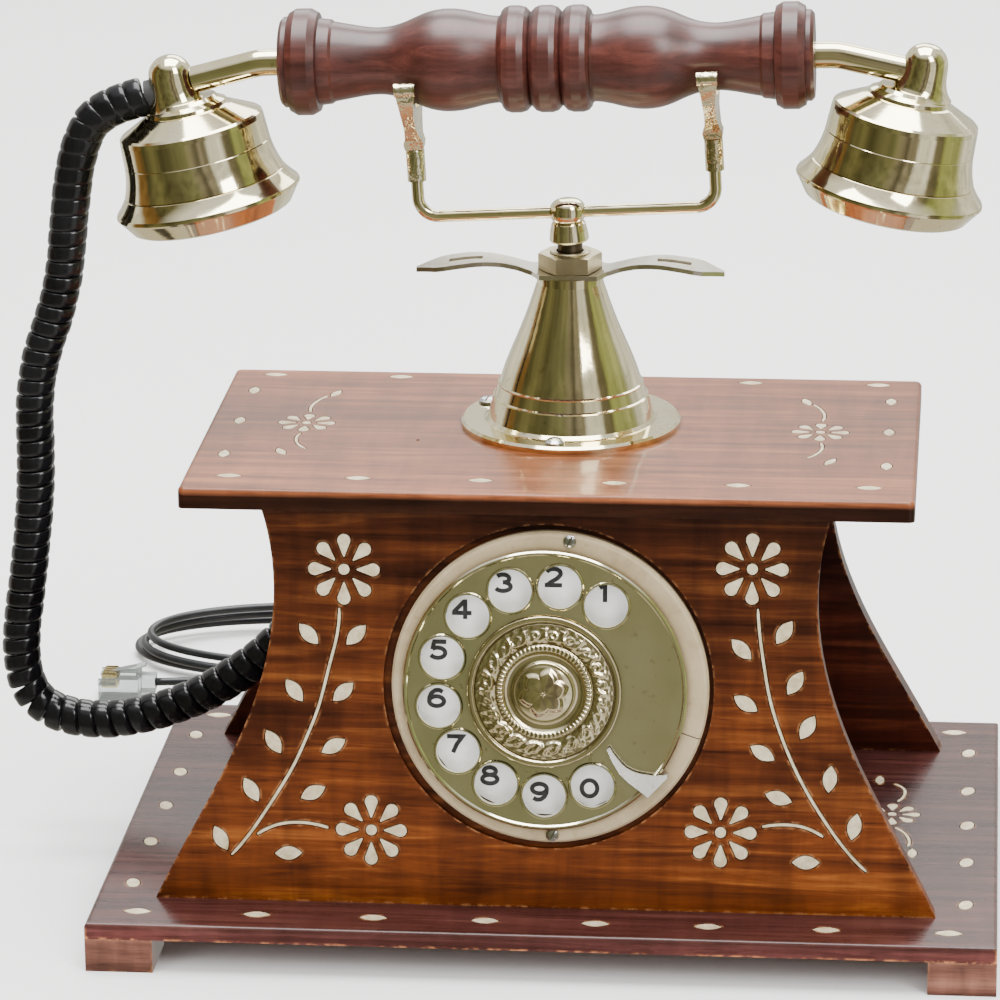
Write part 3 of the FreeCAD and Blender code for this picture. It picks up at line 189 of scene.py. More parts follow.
# line cord: gland on the rear board, over the coil's turns to the floor, three loose turns, then the plug
gx, gs = -62.0, 9.0
g0 = (gx, 67.0 - gs * math.sin(B) + 6.0 * math.cos(B), 14.0 + gs * math.cos(B) + 6.0 * math.sin(B))
g1 = (gx, g0[1] + 22.0 * math.cos(B), g0[2] + 22.0 * math.sin(B))
L = [g0, g1, (-63.0, 121.0, 22.5), (-66.0, 146.0, 17.0), (-68.0, 171.0, 14.0), (-67.0, 195.0, 13.0),
     (-56.0, 215.0, 6.6), (-39.0, 213.0, 2.0), (-30.0, 197.0, 1.35)]
TURNS = [(-92.0, 176.0, 60.0, 30.0), (-98.0, 165.0, 54.0, 27.0), (-94.0, 168.0, 52.0, 27.0), (-95.0, 164.0, 53.0, 27.0)]
RISE, STEPS = 3.0, 12
for i in range(3 * STEPS + 3):
    u = i / float(STEPS)
    k = min(int(u), 2)
    f = u - k
    cx, cy, a_, b_ = [p + (q - p) * f for p, q in zip(TURNS[k], TURNS[k + 1])]
    t = -2 * math.pi * u
    L.append((cx + a_ * math.cos(t), cy + b_ * math.sin(t), 1.35 + RISE * u))
L += [(-87.0, 135.0, 8.3), (-108.0, 133.5, 6.0), (-124.0, 132.2, 4.6), (-138.5, 131.6, 4.2)]
rl = route_curve("line_cord_route", [(x * MM, y * MM, z * MM) for x, y, z in L], 14)
lp = line_of(rl)
bpy.data.objects.remove(rl)


def tube(name, pts, radius, seg=14):
    """Round tube about the points of a route."""
    t, n, b = frames_along(pts)
    verts, faces = [], []
    m = len(pts)
    for i in range(m):
        for j in range(seg):
            a = 2 * math.pi * j / seg
            verts.append(pts[i] + (n[i] * math.cos(a) + b[i] * math.sin(a)) * radius)
    for i in range(m - 1):
        for j in range(seg):
            a0, a1 = i * seg + j, i * seg + (j + 1) % seg
            faces.append((a0, a1, a1 + seg, a0 + seg))
    faces.append(tuple(range(seg))[::-1])
    faces.append(tuple((m - 1) * seg + j for j in range(seg)))
    return obj_from(name, verts, faces)


line = tube("line_cord_tube", lp, 0.00125)
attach(line, "root")
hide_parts("line_cord")


# ------------------------------------------------------------------ node helpers
class Mat:
    def __init__(self, name):
        self.m = bpy.data.materials.new(name)
        self.m.use_nodes = True
        self.t = self.m.node_tree
        self.t.nodes.clear()
        self.out = self.t.nodes.new("ShaderNodeOutputMaterial")
        self.b = self.t.nodes.new("ShaderNodeBsdfPrincipled")
        self.t.links.new(self.b.outputs[0], self.out.inputs[0])
        self.tc = self.t.nodes.new("ShaderNodeTexCoord")

    def set(self, **kw):
        for k, v in kw.items():
            key = {"color": "Base Color", "metal": "Metallic", "rough": "Roughness", "coat": "Coat Weight", "coat_rough": "Coat Roughness",
                   "ior": "IOR", "spec": "Specular IOR Level", "trans": "Transmission Weight", "aniso": "Anisotropic",
                   "sheen": "Sheen Weight", "alpha": "Alpha", "sss": "Subsurface Weight", "tint": "Specular Tint"}[k]
            s = self.b.inputs[key]
            s.default_value = (*v, 1) if isinstance(v, tuple) and len(v) == 3 else v
        return self

    def link(self, a, b):
        self.t.links.new(a, b)

    def map(self, scale=(1, 1, 1), rot=(0, 0, 0), loc=(0, 0, 0), src=None):
        n = self.t.nodes.new("ShaderNodeMapping")
        n.inputs["Scale"].default_value = scale
        n.inputs["Rotation"].default_value = rot
        n.inputs["Location"].default_value = loc
        self.link(src or self.tc.outputs["Object"], n.inputs["Vector"])
        return n.outputs[0]

    def noise(self, vec, scale=1.0, detail=4.0, rough=0.5, dist=0.0):
        n = self.t.nodes.new("ShaderNodeTexNoise")
        n.inputs["Scale"].default_value = scale
        n.inputs["Detail"].default_value = detail
        n.inputs["Roughness"].default_value = rough
        n.inputs["Distortion"].default_value = dist
        self.link(vec, n.inputs["Vector"])
        return n.outputs["Fac"]

    def voronoi(self, vec, scale=1.0, feature="F1"):
        n = self.t.nodes.new("ShaderNodeTexVoronoi")
        n.feature = feature
        n.inputs["Scale"].default_value = scale
        self.link(vec, n.inputs["Vector"])
        return n.outputs["Distance"]

    def wave(self, vec, scale=1.0, dist=2.0, detail=2.0, dscale=1.0, kind="BANDS", direction="X"):
        n = self.t.nodes.new("ShaderNodeTexWave")
        n.wave_type = kind
        if kind == "BANDS":
            n.bands_direction = direction
        n.inputs["Scale"].default_value = scale
        n.inputs["Distortion"].default_value = dist
        n.inputs["Detail"].default_value = detail
        n.inputs["Detail Scale"].default_value = dscale
        self.link(vec, n.inputs["Vector"])
        return n.outputs["Fac"]

    def ramp(self, fac, stops, interp="LINEAR"):
        n = self.t.nodes.new("ShaderNodeValToRGB")
        e = n.color_ramp.elements
        n.color_ramp.interpolation = interp
        while len(e) > 1:
            e.remove(e[-1])
        for i, (p, c) in enumerate(stops):
            if i == 0:
                e[0].position = p
                el = e[0]
            else:
                el = e.new(p)
            el.color = (*c, 1) if isinstance(c, tuple) else (c, c, c, 1)
        self.link(fac, n.inputs[0])
        return n.outputs["Color"]

    def mix(self, a, b, fac, blend="MIX"):
        n = self.t.nodes.new("ShaderNodeMix")
        n.data_type = "RGBA"
        n.blend_type = blend
        for s, v in ((n.inputs[0], fac), (n.inputs[6], a), (n.inputs[7], b)):
            if isinstance(v, (int, float)):
                s.default_value = v if s == n.inputs[0] else (v, v, v, 1)
            elif isinstance(v, tuple):
                s.default_value = (*v, 1)
            else:
                self.link(v, s)
        return n.outputs[2]

    def math(self, op, a, b=0.5, clamp=False):
        n = self.t.nodes.new("ShaderNodeMath")
        n.operation = op
        n.use_clamp = clamp
        for s, v in ((n.inputs[0], a), (n.inputs[1], b)):
            if isinstance(v, (int, float)):
                s.default_value = v
            else:
                self.link(v, s)
        return n.outputs[0]

    def range(self, fac, lo, hi):
        n = self.t.nodes.new("ShaderNodeMapRange")
        n.inputs["To Min"].default_value = lo
        n.inputs["To Max"].default_value = hi
        self.link(fac, n.inputs["Value"])
        return n.outputs[0]

    def bump(self, height, strength=0.2, distance=0.0005, normal=None):
        n = self.t.nodes.new("ShaderNodeBump")
        n.inputs["Strength"].default_value = strength
        n.inputs["Distance"].default_value = distance
        self.link(height, n.inputs["Height"])
        if normal is not None:
            self.link(normal, n.inputs["Normal"])
        return n.outputs[0]

    def ao(self, dist=0.004, inside=False):
        n = self.t.nodes.new("ShaderNodeAmbientOcclusion")
        n.samples = 6
        n.inside = inside
        n.inputs["Distance"].default_value = dist
        return n.outputs["AO"]

    def to(self, key, v):
        self.link(v, self.b.inputs[key])
        return self


def wood(name, dark, mid, light, along="X", loc=(0, 0, 0), gloss=0.25, coat=0.6, coat_rough=0.12, figure=1.0, streak=1.0, edge=(0.30, 0.13, 0.05), spec=0.5, painted_light_and_shade_by_height=None):
    """Lacquered wood with grain along one axis of the row frame."""
    w = Mat(name)
    pick = lambda l, c: {"X": (l, c, c), "Y": (c, l, c), "Z": (c, c, l)}[along]
    g = w.noise(w.map(pick(13, 250), loc=loc), 1.0, 8.0, 0.66, 0.7)
    br = w.noise(w.map(pick(5, 34), loc=loc), 1.0, 4.0, 0.55, 0.8)
    fi = w.noise(w.map(pick(80, 2300), loc=loc), 1.0, 3.0, 0.6)
    ri = w.noise(w.map(pick(150, 24), loc=loc), 1.0, 4.0, 0.55, 0.5)
    base = w.ramp(g, [(0.30, dark), (0.43, tuple(0.45 * a + 0.55 * b for a, b in zip(dark, mid))), (0.53, mid), (0.70, light)])
    large = w.ramp(br, [(0.32, (0.42, 0.34, 0.30)), (0.5, (0.95, 0.93, 0.90)), (0.68, (1.22, 1.20, 1.12))])
    c = w.mix(base, large, 1.0 * figure, "MULTIPLY")
    pores = w.ramp(fi, [(0.30, (0.30, 0.24, 0.22)), (0.43, (1.0, 1.0, 1.0))])
    c = w.mix(c, pores, 0.6 * streak, "MULTIPLY")
    rip = w.ramp(ri, [(0.36, (0.66, 0.60, 0.55)), (0.66, (1.22, 1.18, 1.10))])
    c = w.mix(c, rip, 0.75 * figure, "MULTIPLY")
    chip = w.noise(w.map((420, 420, 420), loc=loc), 1.0, 4.0, 0.6)
    # lighter worn chips on the convex edges, which also act as a painted edge highlight (edge is their colour)
    chips_and_edge_highlight = w.ramp(w.ao(0.0011, True), [(0.55, 1.0), (0.80, 0.0)])
    chips_and_edge_highlight = w.mix(chips_and_edge_highlight, w.ramp(chip, [(0.48, 0.0), (0.60, 1.0)]), 1.0, "MULTIPLY")
    c = w.mix(c, edge, chips_and_edge_highlight)
    # painted shade: darker where other surfaces are close (AO within 6 mm), in gaps, corners and recesses
    painted_shade_in_gaps = w.ramp(w.ao(0.006), [(0.30, (0.45, 0.38, 0.34)), (0.80, (1.0, 1.0, 1.0))])
    c = w.mix(c, painted_shade_in_gaps, 0.8, "MULTIPLY")
    if painted_light_and_shade_by_height:
        # painted light and shade by height: the colour is multiplied by a ramp from c0 at z0 to c1 at z1
        z0, z1, c0, c1 = painted_light_and_shade_by_height
        sp = w.t.nodes.new("ShaderNodeSeparateXYZ")
        w.link(w.tc.outputs["Object"], sp.inputs[0])
        n = w.t.nodes.new("ShaderNodeMapRange")
        n.inputs["From Min"].default_value = z0
        n.inputs["From Max"].default_value = z1
        w.link(sp.outputs[2], n.inputs["Value"])
        c = w.mix(c, w.ramp(n.outputs[0], [(0.0, c0), (1.0, c1)]), 1.0, "MULTIPLY")
    w.to("Base Color", c)
    w.to("Roughness", w.range(g, gloss - 0.05, gloss + 0.14))
    w.set(spec=spec)
    h = w.mix(fi, g, 0.5)
    lac = w.noise(w.map((34, 34, 34), loc=loc), 1.0, 3.0, 0.5)
    w.to("Normal", w.bump(h, 0.18, 0.00025))
    w.to("Coat Normal", w.bump(lac, 0.10, 0.0012))
    w.set(coat=coat, coat_rough=coat_rough)
    return w.m


def metal(name, light, dark, rough=(0.10, 0.24), grime_and_painted_shade=0.35, brushed=0.10, wavy=0.10, tarnish=None, metallic=1.0, lumps=0.0):
    """Worn metal: hand polish, specks, tarnish, grime and painted shade darkening the corners."""
    w = Mat(name)
    n1 = w.noise(w.map((46,) * 3), 1.0, 5.0, 0.6, 0.3)
    n2 = w.noise(w.map((420,) * 3), 1.0, 3.0, 0.5)
    n3 = w.noise(w.map((150,) * 3, loc=(3, 1, 2)), 1.0, 6.0, 0.7, 0.6)
    c = w.ramp(n1, [(0.32, dark), (0.58, light)])
    # darker near other surfaces (AO within 2.8 mm): partly grime, partly painted shade in corners and holes
    ao = w.ramp(w.ao(0.0028), [(0.35, (0.26, 0.19, 0.10)), (0.85, (1.0, 1.0, 1.0))])
    c = w.mix(c, ao, grime_and_painted_shade, "MULTIPLY")
    if tarnish:
        c = w.mix(c, tarnish, w.ramp(n3, [(0.52, 0.0), (0.74, 0.55)]))
    sp = w.ramp(n2, [(0.27, (0.66, 0.60, 0.50)), (0.35, (1.0, 1.0, 1.0))])
    c = w.mix(c, sp, 0.5, "MULTIPLY")
    w.to("Base Color", c)
    w.to("Roughness", w.range(w.mix(n1, n3, 0.5), rough[0], rough[1]))
    w.set(metal=metallic)
    h = w.noise(w.map((700, 700, 90)), 1.0, 3.0, 0.6)
    nb = w.bump(w.noise(w.map((24,) * 3), 1.0, 2.0, 0.5), wavy, 0.0016)
    if lumps:
        nb = w.bump(w.noise(w.map((260, 260, 170)), 1.0, 3.0, 0.55, 0.4), lumps, 0.0011, nb)
    w.to("Normal", w.bump(w.mix(n2, h, 0.6), brushed, 0.00012, nb))
    return w.m


M = {}
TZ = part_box("top_board")[1][2]
BZ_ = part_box("base_board")[1][2]
# front board: painted shadow of the top board, the wood darkened towards the top between 35 mm and 130 mm
M["case"] = wood("wood_case", (0.030, 0.0066, 0.0010), (0.108, 0.0262, 0.0030), (0.215, 0.070, 0.0100), "X", loc=(0.3, 1.1, 2.7), gloss=0.36, coat=0.06, coat_rough=0.18, streak=0.8, spec=0.16,
                 painted_light_and_shade_by_height=(0.035, 0.130, (0.94, 0.88, 0.80), (0.34, 0.30, 0.24)))
M["dark"] = wood("wood_dark_case", (0.006, 0.0008, 0.0007), (0.018, 0.0024, 0.0020), (0.036, 0.0062, 0.0045), "Z", loc=(1.3, 0.1, 0.7), gloss=0.34, coat=0.10, coat_rough=0.22, figure=0.8, edge=(0.12, 0.04, 0.02), spec=0.25)
# rear board: the case wood darkened to about half, painted shade for its face inside the case
M["rear"] = wood("wood_rear_board_painted_shade", (0.010, 0.0018, 0.0008), (0.042, 0.0075, 0.0030), (0.085, 0.019, 0.007), "X", loc=(4.3, 2.1, 0.7), gloss=0.30, coat=0.15, coat_rough=0.22, spec=0.3)
# top board: painted shade on its front edge and underside, darkened to about a tenth below 2.2 mm under the top face
M["top"] = wood("wood_top_board", (0.080, 0.021, 0.007), (0.215, 0.066, 0.024), (0.32, 0.122, 0.050), "X", loc=(2.3, 3.1, 1.7), gloss=0.28, coat=0.24, coat_rough=0.07, figure=0.6, spec=0.22,
                painted_light_and_shade_by_height=(TZ - 0.0022, TZ - 0.0010, (0.09, 0.06, 0.035), (1.0, 1.0, 1.0)))
# base board: painted light on its front edge and underside, lightened below 2.2 mm under the top face
M["base"] = wood("wood_base_board", (0.020, 0.0058, 0.0052), (0.056, 0.0175, 0.0155), (0.100, 0.037, 0.031), "X", loc=(7.3, 0.1, 3.7), gloss=0.24, coat=0.34, coat_rough=0.07, figure=0.6, spec=0.22,
                 painted_light_and_shade_by_height=(BZ_ - 0.0022, BZ_ - 0.0010, (1.7, 1.5, 1.6), (1.0, 1.0, 1.0)))
M["feet"] = wood("wood_feet", (0.060, 0.020, 0.013), (0.165, 0.062, 0.042), (0.27, 0.115, 0.080), "X", loc=(9.3, 5.1, 3.7), gloss=0.36, coat=0.1, coat_rough=0.25)
M["handle"] = wood("wood_turned_handle", (0.022, 0.0044, 0.0032), (0.056, 0.0120, 0.0085), (0.096, 0.023, 0.016), "X", loc=(3.3, 8.1, 5.7), gloss=0.34, coat=0.25, coat_rough=0.24, figure=0.6, edge=(0.12, 0.04, 0.025))
M["pine"] = wood("wood_raw_block", (0.42, 0.26, 0.13), (0.58, 0.40, 0.22), (0.70, 0.52, 0.32), "X", gloss=0.6, coat=0.0)
M["brass"] = metal("polished_brass", (0.90, 0.82, 0.56), (0.82, 0.72, 0.44), (0.05, 0.13), 0.5, 0.10, 0.12)
M["nut"] = metal("worn_brass", (0.60, 0.54, 0.36), (0.44, 0.38, 0.23), (0.26, 0.42), 0.7, 0.3, 0.2)
M["bar"] = metal("wing_bar_metal", (0.80, 0.76, 0.66), (0.66, 0.60, 0.48), (0.16, 0.32), 0.5, 0.25, 0.35, (0.50, 0.42, 0.30))
M["cast"] = metal("cast_brass", (0.84, 0.78, 0.55), (0.62, 0.54, 0.32), (0.12, 0.26), 0.8, 0.3, 0.5, lumps=1.0)
M["dialbrass"] = metal("dial_brass", (0.90, 0.86, 0.66), (0.82, 0.77, 0.55), (0.07, 0.16), 0.6, 0.06, 0.55)
M["boss"] = metal("embossed_brass", (0.92, 0.82, 0.56), (0.78, 0.66, 0.40), (0.09, 0.20), 0.9, 0.08, 0.1, (0.46, 0.34, 0.17))
M["bezel"] = metal("bezel_brass", (0.54, 0.43, 0.27), (0.40, 0.31, 0.18), (0.30, 0.48), 0.6, 0.35, 0.2, (0.30, 0.22, 0.13), metallic=0.40)
M["zinc"] = metal("zinc_plate", (0.72, 0.74, 0.76), (0.52, 0.53, 0.54), (0.18, 0.34), 0.7, 0.2, 0.3)
M["chrome"] = metal("finger_stop_steel", (0.66, 0.65, 0.61), (0.50, 0.48, 0.43), (0.20, 0.34), 0.5, 0.4, 0.3, metallic=0.40)
M["steel"] = metal("mechanism_steel", (0.55, 0.54, 0.52), (0.40, 0.39, 0.37), (0.25, 0.4), 0.5)
M["rod"] = metal("dark_threaded_rod", (0.16, 0.13, 0.10), (0.07, 0.06, 0.05), (0.30, 0.45), 0.7)
M["gear"] = metal("gear_brass", (0.80, 0.64, 0.32), (0.68, 0.52, 0.24), (0.2, 0.35), 0.5)
M["copper"] = metal("coil_copper", (0.72, 0.38, 0.20), (0.55, 0.27, 0.14), (0.3, 0.4), 0.5)

# cream, slightly oxidised let-in brass
w = Mat("ornament_brass")
n1 = w.noise(w.map((300,) * 3), 1.0, 5.0, 0.6)
n2 = w.noise(w.map((2400, 300, 2400)), 1.0, 2.0, 0.6)
c = w.ramp(n1, [(0.32, (0.50, 0.40, 0.24)), (0.60, (0.74, 0.64, 0.45))])
c = w.mix(c, w.ramp(n2, [(0.3, (0.80, 0.78, 0.72)), (0.6, (1, 1, 1))]), 0.6, "MULTIPLY")
w.to("Base Color", c).to("Roughness", w.range(n2, 0.34, 0.52)).to("Normal", w.bump(n2, 0.12, 0.0002))
w.set(metal=0.35)
M["ornament"] = w.m

# white number plate, slightly aged
w = Mat("number_plate_enamel")
n1 = w.noise(w.map((90,) * 3), 1.0, 4.0, 0.6)
c = w.ramp(n1, [(0.35, (0.72, 0.72, 0.71)), (0.62, (0.84, 0.84, 0.83))])
w.to("Base Color", c).to("Roughness", w.range(n1, 0.18, 0.30))
w.set(coat=0.4, coat_rough=0.12)
M["plate"] = w.m

w = Mat("printed_digit")
n1 = w.noise(w.map((800,) * 3), 1.0, 3.0, 0.6)
w.to("Base Color", w.ramp(n1, [(0.3, (0.012, 0.012, 0.014)), (0.7, (0.035, 0.034, 0.036))])).to("Roughness", w.range(n1, 0.35, 0.5))
M["digit"] = w.m


def plastic(name, a, b, rough=(0.22, 0.34), bump=0.06, coat=0.2, spec=0.5):
    w = Mat(name)
    n1 = w.noise(w.map((70,) * 3), 1.0, 4.0, 0.6)
    n2 = w.noise(w.map((1600,) * 3), 1.0, 2.0, 0.5)
    w.to("Base Color", w.ramp(n1, [(0.35, a), (0.65, b)])).to("Roughness", w.range(n1, rough[0], rough[1]))
    w.to("Normal", w.bump(n2, bump, 0.0001))
    w.set(coat=coat, coat_rough=0.2, spec=spec)
    return w.m


M["cord"] = plastic("black_cord_vinyl", (0.0025, 0.0025, 0.003), (0.006, 0.006, 0.007), (0.10, 0.20), 0.05, 0.15, 0.32)
M["line"] = plastic("black_line_cord_vinyl", (0.008, 0.009, 0.010), (0.016, 0.017, 0.019), (0.30, 0.42), 0.08, 0.1)
M["rubber"] = plastic("black_rubber", (0.012, 0.012, 0.012), (0.028, 0.028, 0.028), (0.5, 0.65), 0.15, 0.0)
M["green"] = plastic("board_green", (0.02, 0.16, 0.07), (0.03, 0.24, 0.10))
M["black"] = plastic("component_black", (0.02, 0.02, 0.022), (0.05, 0.05, 0.052), (0.35, 0.5))

w = Mat("clear_plug_plastic")
n1 = w.noise(w.map((200,) * 3), 1.0, 3.0, 0.5)
w.to("Base Color", w.ramp(n1, [(0.3, (0.48, 0.53, 0.51)), (0.7, (0.62, 0.66, 0.65))])).to("Roughness", w.range(n1, 0.04, 0.12))
w.set(trans=0.85, ior=1.5)
M["clear"] = w.m

ASSIGN = {
    "case": ["front_board"], "rear": ["rear_board"], "dark": ["side_wall_left", "side_wall_right"], "top": ["top_board"], "base": ["base_board"], "feet": ["feet"],
    "handle": ["handle"], "pine": ["corner_blocks"], "ornament": ["front_inlay", "base_inlay", "top_inlay"],
    "brass": ["pedestal", "cradle_hub", "cross_rod", "receiver_arm", "transmitter_arm",
              "receiver_shell", "transmitter_shell", "receiver_cap", "transmitter_cap"],
    "bar": ["wing_bar"], "cast": ["fork_sleeves", "fork_left", "fork_right"],
    "nut": ["hex_nut", "top_washer"], "dialbrass": ["finger_wheel", "dial_medallion"], "bezel": ["dial_bezel"],
    "zinc": ["bezel_screws", "base_screws", "foot_screws", "pedestal_screws"], "chrome": ["finger_stop"], "plate": ["dial_number_plate"], "digit": ["dial_digits"],
    "steel": ["dial_frame", "dial_spring_box", "dial_shaft", "hook_switch", "hook_lever", "ringer_posts", "ringer_gongs", "ringer_clapper"],
    "rod": ["plunger_rod"], "gear": ["dial_gear", "governor_pinion"], "copper": ["ringer_coil"], "green": ["circuit_board"], "black": ["board_components", "receiver_capsule", "transmitter_capsule"],
    "rubber": ["handset_gland", "cord_grommet", "line_gland"], "clear": ["line_plug"],
}
for key, names in ASSIGN.items():
    for nme in names:
        ob = N[nme]
        ob.data.materials.clear()
        ob.data.materials.append(M[key])
for o, k in ((curl, "cord"), (line, "line")):
    o.data.materials.append(M[k])

# ------------------------------------------------------------------ embossed medallion of the dial
def medallion():
    nr, na = 118, 384
    rr = np.linspace(0.35, 20.85, nr)
    th = np.linspace(0, 2 * math.pi, na, endpoint=False)
    R, A = np.meshgrid(rr, th, indexing="ij")
    h = np.full_like(R, 4.6)
    step = lambda x, lo, hi: np.clip((x - lo) / (hi - lo), 0, 1) ** 2 * (3 - 2 * np.clip((x - lo) / (hi - lo), 0, 1))
    dome = 5.05 + 2.45 * np.sqrt(np.clip(1 - (R / 8.6) ** 2, 0, 1))
    star = np.abs(((A * 6 / (2 * math.pi) + 0.25) % 1) - 0.5) * 2              # 0 at a point of the star, 1 between
    edge = 4.9 + 1.7 * (1 - star) ** 0.8
    dome = dome - 0.55 * step(R, edge - 1.1, edge + 0.7) * step(8.4 - R, 0, 0.8) + 0.10 * (1 - star) * step(6.2 - R, 0, 3)
    h = np.where(R < 8.3, dome, h)
    dish = 4.35 + 0.9 * ((R - 9.6) / 1.8) ** 2
    h = np.where((R >= 8.3) & (R < 11.4), np.minimum(dish, 5.35), h)
    bead = 5.15 + 0.42 * np.abs(np.sin(A * 32)) ** 0.6 * np.sqrt(np.clip(1 - ((R - 12.15) / 0.85) ** 2, 0, 1))
    h = np.where((R >= 11.4) & (R < 13.0), bead, h)
    base = 4.55 + 0.55 * np.sin(np.clip((R - 13.0) / 5.0, 0, 1) * math.pi)
    n = 20
    u = (A * n / (2 * math.pi)) % 1 - 0.5
    arc_x = u * 2 * math.pi / n * R
    d = np.hypot(arc_x, R - 15.9)
    dots = 0.34 * np.exp(-((d - 0.80) / 0.34) ** 2)
    loop = 0.55 * np.exp(-((np.hypot(arc_x * 0.95, R - 16.9) - 2.5) / 0.55) ** 2) * (R < 17.6) + 0.35 * np.exp(-((R - 18.0) / 0.5) ** 2) * np.cos(u * 2 * math.pi) ** 2
    cell = np.floor(A * n / (2 * math.pi))
    loop = loop * (0.72 + 0.28 * np.sin(cell * 2.3)) + 0.16 * np.sin(A * 37 + R * 2.1) * np.exp(-((R - 15.6) / 1.8) ** 2)
    h = np.where((R >= 13.0) & (R < 18.9), base + dots * (0.7 + 0.3 * np.sin(cell * 1.7)) + loop, h)
    h = np.where((R >= 18.9) & (R < 19.3), 4.25, h)
    rimh = 4.75 + 0.35 * np.sqrt(np.clip(1 - ((R - 20.05) / 0.85) ** 2, 0, 1))
    h = np.where(R >= 19.3, rimh, h)
    verts, faces = [], []
    for i in range(nr):
        for j in range(na):
            x, s_ = rr[i] * math.cos(th[j]), rr[i] * math.sin(th[j])
            verts.append(front_point(DIAL[0] + x * MM, DIAL[1] + s_ * MM, h[i, j] * MM))
    for i in range(nr - 1):
        for j in range(na):
            k = (j + 1) % na
            faces.append((i * na + j, (i + 1) * na + j, (i + 1) * na + k, i * na + k))
    top = len(verts)
    verts.append(front_point(DIAL[0], DIAL[1], 7.62 * MM))
    for j in range(na):
        faces.append((top, j, (j + 1) % na))
    low = len(verts)
    for j in range(na):
        verts.append(front_point(DIAL[0] + 20.9 * MM * math.cos(th[j]), DIAL[1] + 20.9 * MM * math.sin(th[j]), 3.92 * MM))
    for j in range(na):
        k = (j + 1) % na
        faces.append(((nr - 1) * na + j, low + j, low + k, (nr - 1) * na + k))
    back_c = len(verts)
    verts.append(front_point(DIAL[0], DIAL[1], 3.92 * MM))
    for j in range(na):
        faces.append((back_c, low + (j + 1) % na, low + j))
    ob = obj_from("dial_medallion_embossed", verts, faces)
    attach(ob, "dial")
    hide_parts("dial_medallion")
    ob.data.materials.append(M["boss"])
    return ob


medallion()


def turned(name, body, centre, axis, prof, material, seg=40, ripple=None):
    """A turned piece: prof is (distance along axis, radius) in mm."""
    ax = Vector(axis).normalized()
    e = ax.orthogonal().normalized()
    f = ax.cross(e)
    verts, faces = [], []
    for t, r in prof:
        for j in range(seg):
            a = 2 * math.pi * j / seg
            q = r * (1 + (ripple(t, a) if ripple else 0.0))
            verts.append(Vector(centre) + ax * (t * MM) + (e * math.cos(a) + f * math.sin(a)) * (q * MM))
    for i in range(len(prof) - 1):
        for j in range(seg):
            k = (j + 1) % seg
            faces.append((i * seg + j, i * seg + k, (i + 1) * seg + k, (i + 1) * seg + j))
    faces.append(tuple(range(seg))[::-1])
    faces.append(tuple((len(prof) - 1) * seg + j for j in range(seg)))
    ob = obj_from(name, verts, faces)
    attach(ob, body)
    ob.data.materials.append(material)
    return ob


# tapered, ribbed strain relief on the line cord
prof = []
for i in range(11):
    r = 2.9 - 0.125 * i
    z0 = 1.8 * i
    prof += [(z0, r * 0.80), (z0 + 0.25, r * 0.80), (z0 + 0.35, r), (z0 + 1.45, r - 0.10), (z0 + 1.55, r * 0.80)]
turned("line_cord_relief", "root", [c * MM for c in g0], (0, math.cos(B), math.sin(B)), prof, M["rubber"])

# four brass contacts seen through the clear plug
lo, hi = [Vector(c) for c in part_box("line_plug")]
for k in range(4):
    y_ = lo.y + (hi.y - lo.y) * (0.26 + 0.16 * k)
    x0, x1 = lo.x + 0.0012, lo.x + 0.0062
    zt = lo.z + (hi.z - lo.z) * 0.80
    zb = lo.z + (hi.z - lo.z) * 0.35
    wdt = 0.00022
    v = [(x, y_ + sgn * wdt, z) for sgn in (-1, 1) for x, z in ((x0, zb), (x1, zb), (x1, zt - 0.0006), (x1 - 0.0008, zt), (x0 + 0.0008, zt), (x0, zt - 0.0006))]
    f = [(0, 1, 2, 3, 4, 5), (11, 10, 9, 8, 7, 6)] + [(j, j + 6, (j + 1) % 6 + 6, (j + 1) % 6) for j in range(6)]
    ob = obj_from("plug_contact_%d" % (k + 1), v, f, False)
    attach(ob, "root")
    ob.data.materials.append(M["gear"])

# ------------------------------------------------------------------ stage and light
fl = obj_from("studio_floor", [(-6, -6, 0), (6, -6, 0), (6, 6, 0), (-6, 6, 0)], [(0, 1, 2, 3)], False)
w = Mat("studio_floor_paint")
n1 = w.noise(w.map((3,) * 3), 1.0, 3.0, 0.5)
w.to("Base Color", w.ramp(n1, [(0.3, (0.93, 0.93, 0.93)), (0.7, (0.95, 0.95, 0.95))]))
w.set(rough=0.7)
fl.data.materials.append(w.m)
fl.visible_glossy = False
world = bpy.data.worlds.new("studio")
bpy.context.scene.world = world
world.use_nodes = True
wt = world.node_tree
wt.nodes.clear()


def wn(kind, **kw):
    n = wt.nodes.new(kind)
    for k, v in kw.items():
        setattr(n, k, v)
    return n


def wmath(op, a, b=0.5, clamp=False):
    n = wn("ShaderNodeMath", operation=op, use_clamp=clamp)
    for sck, v in ((n.inputs[0], a), (n.inputs[1], b)):
        if isinstance(v, (int, float)):
            sck.default_value = v
        else:
            wt.links.new(v, sck)
    return n.outputs[0]


def wramp(fac, stops):
    n = wn("ShaderNodeValToRGB")
    e = n.color_ramp.elements
    while len(e) > 1:
        e.remove(e[-1])
    for i, (p_, c_) in enumerate(stops):
        el = e[0] if i == 0 else e.new(p_)
        el.position = p_
        el.color = (*c_, 1) if isinstance(c_, tuple) else (c_, c_, c_, 1)
    wt.links.new(fac, n.inputs[0])
    return n.outputs[0]


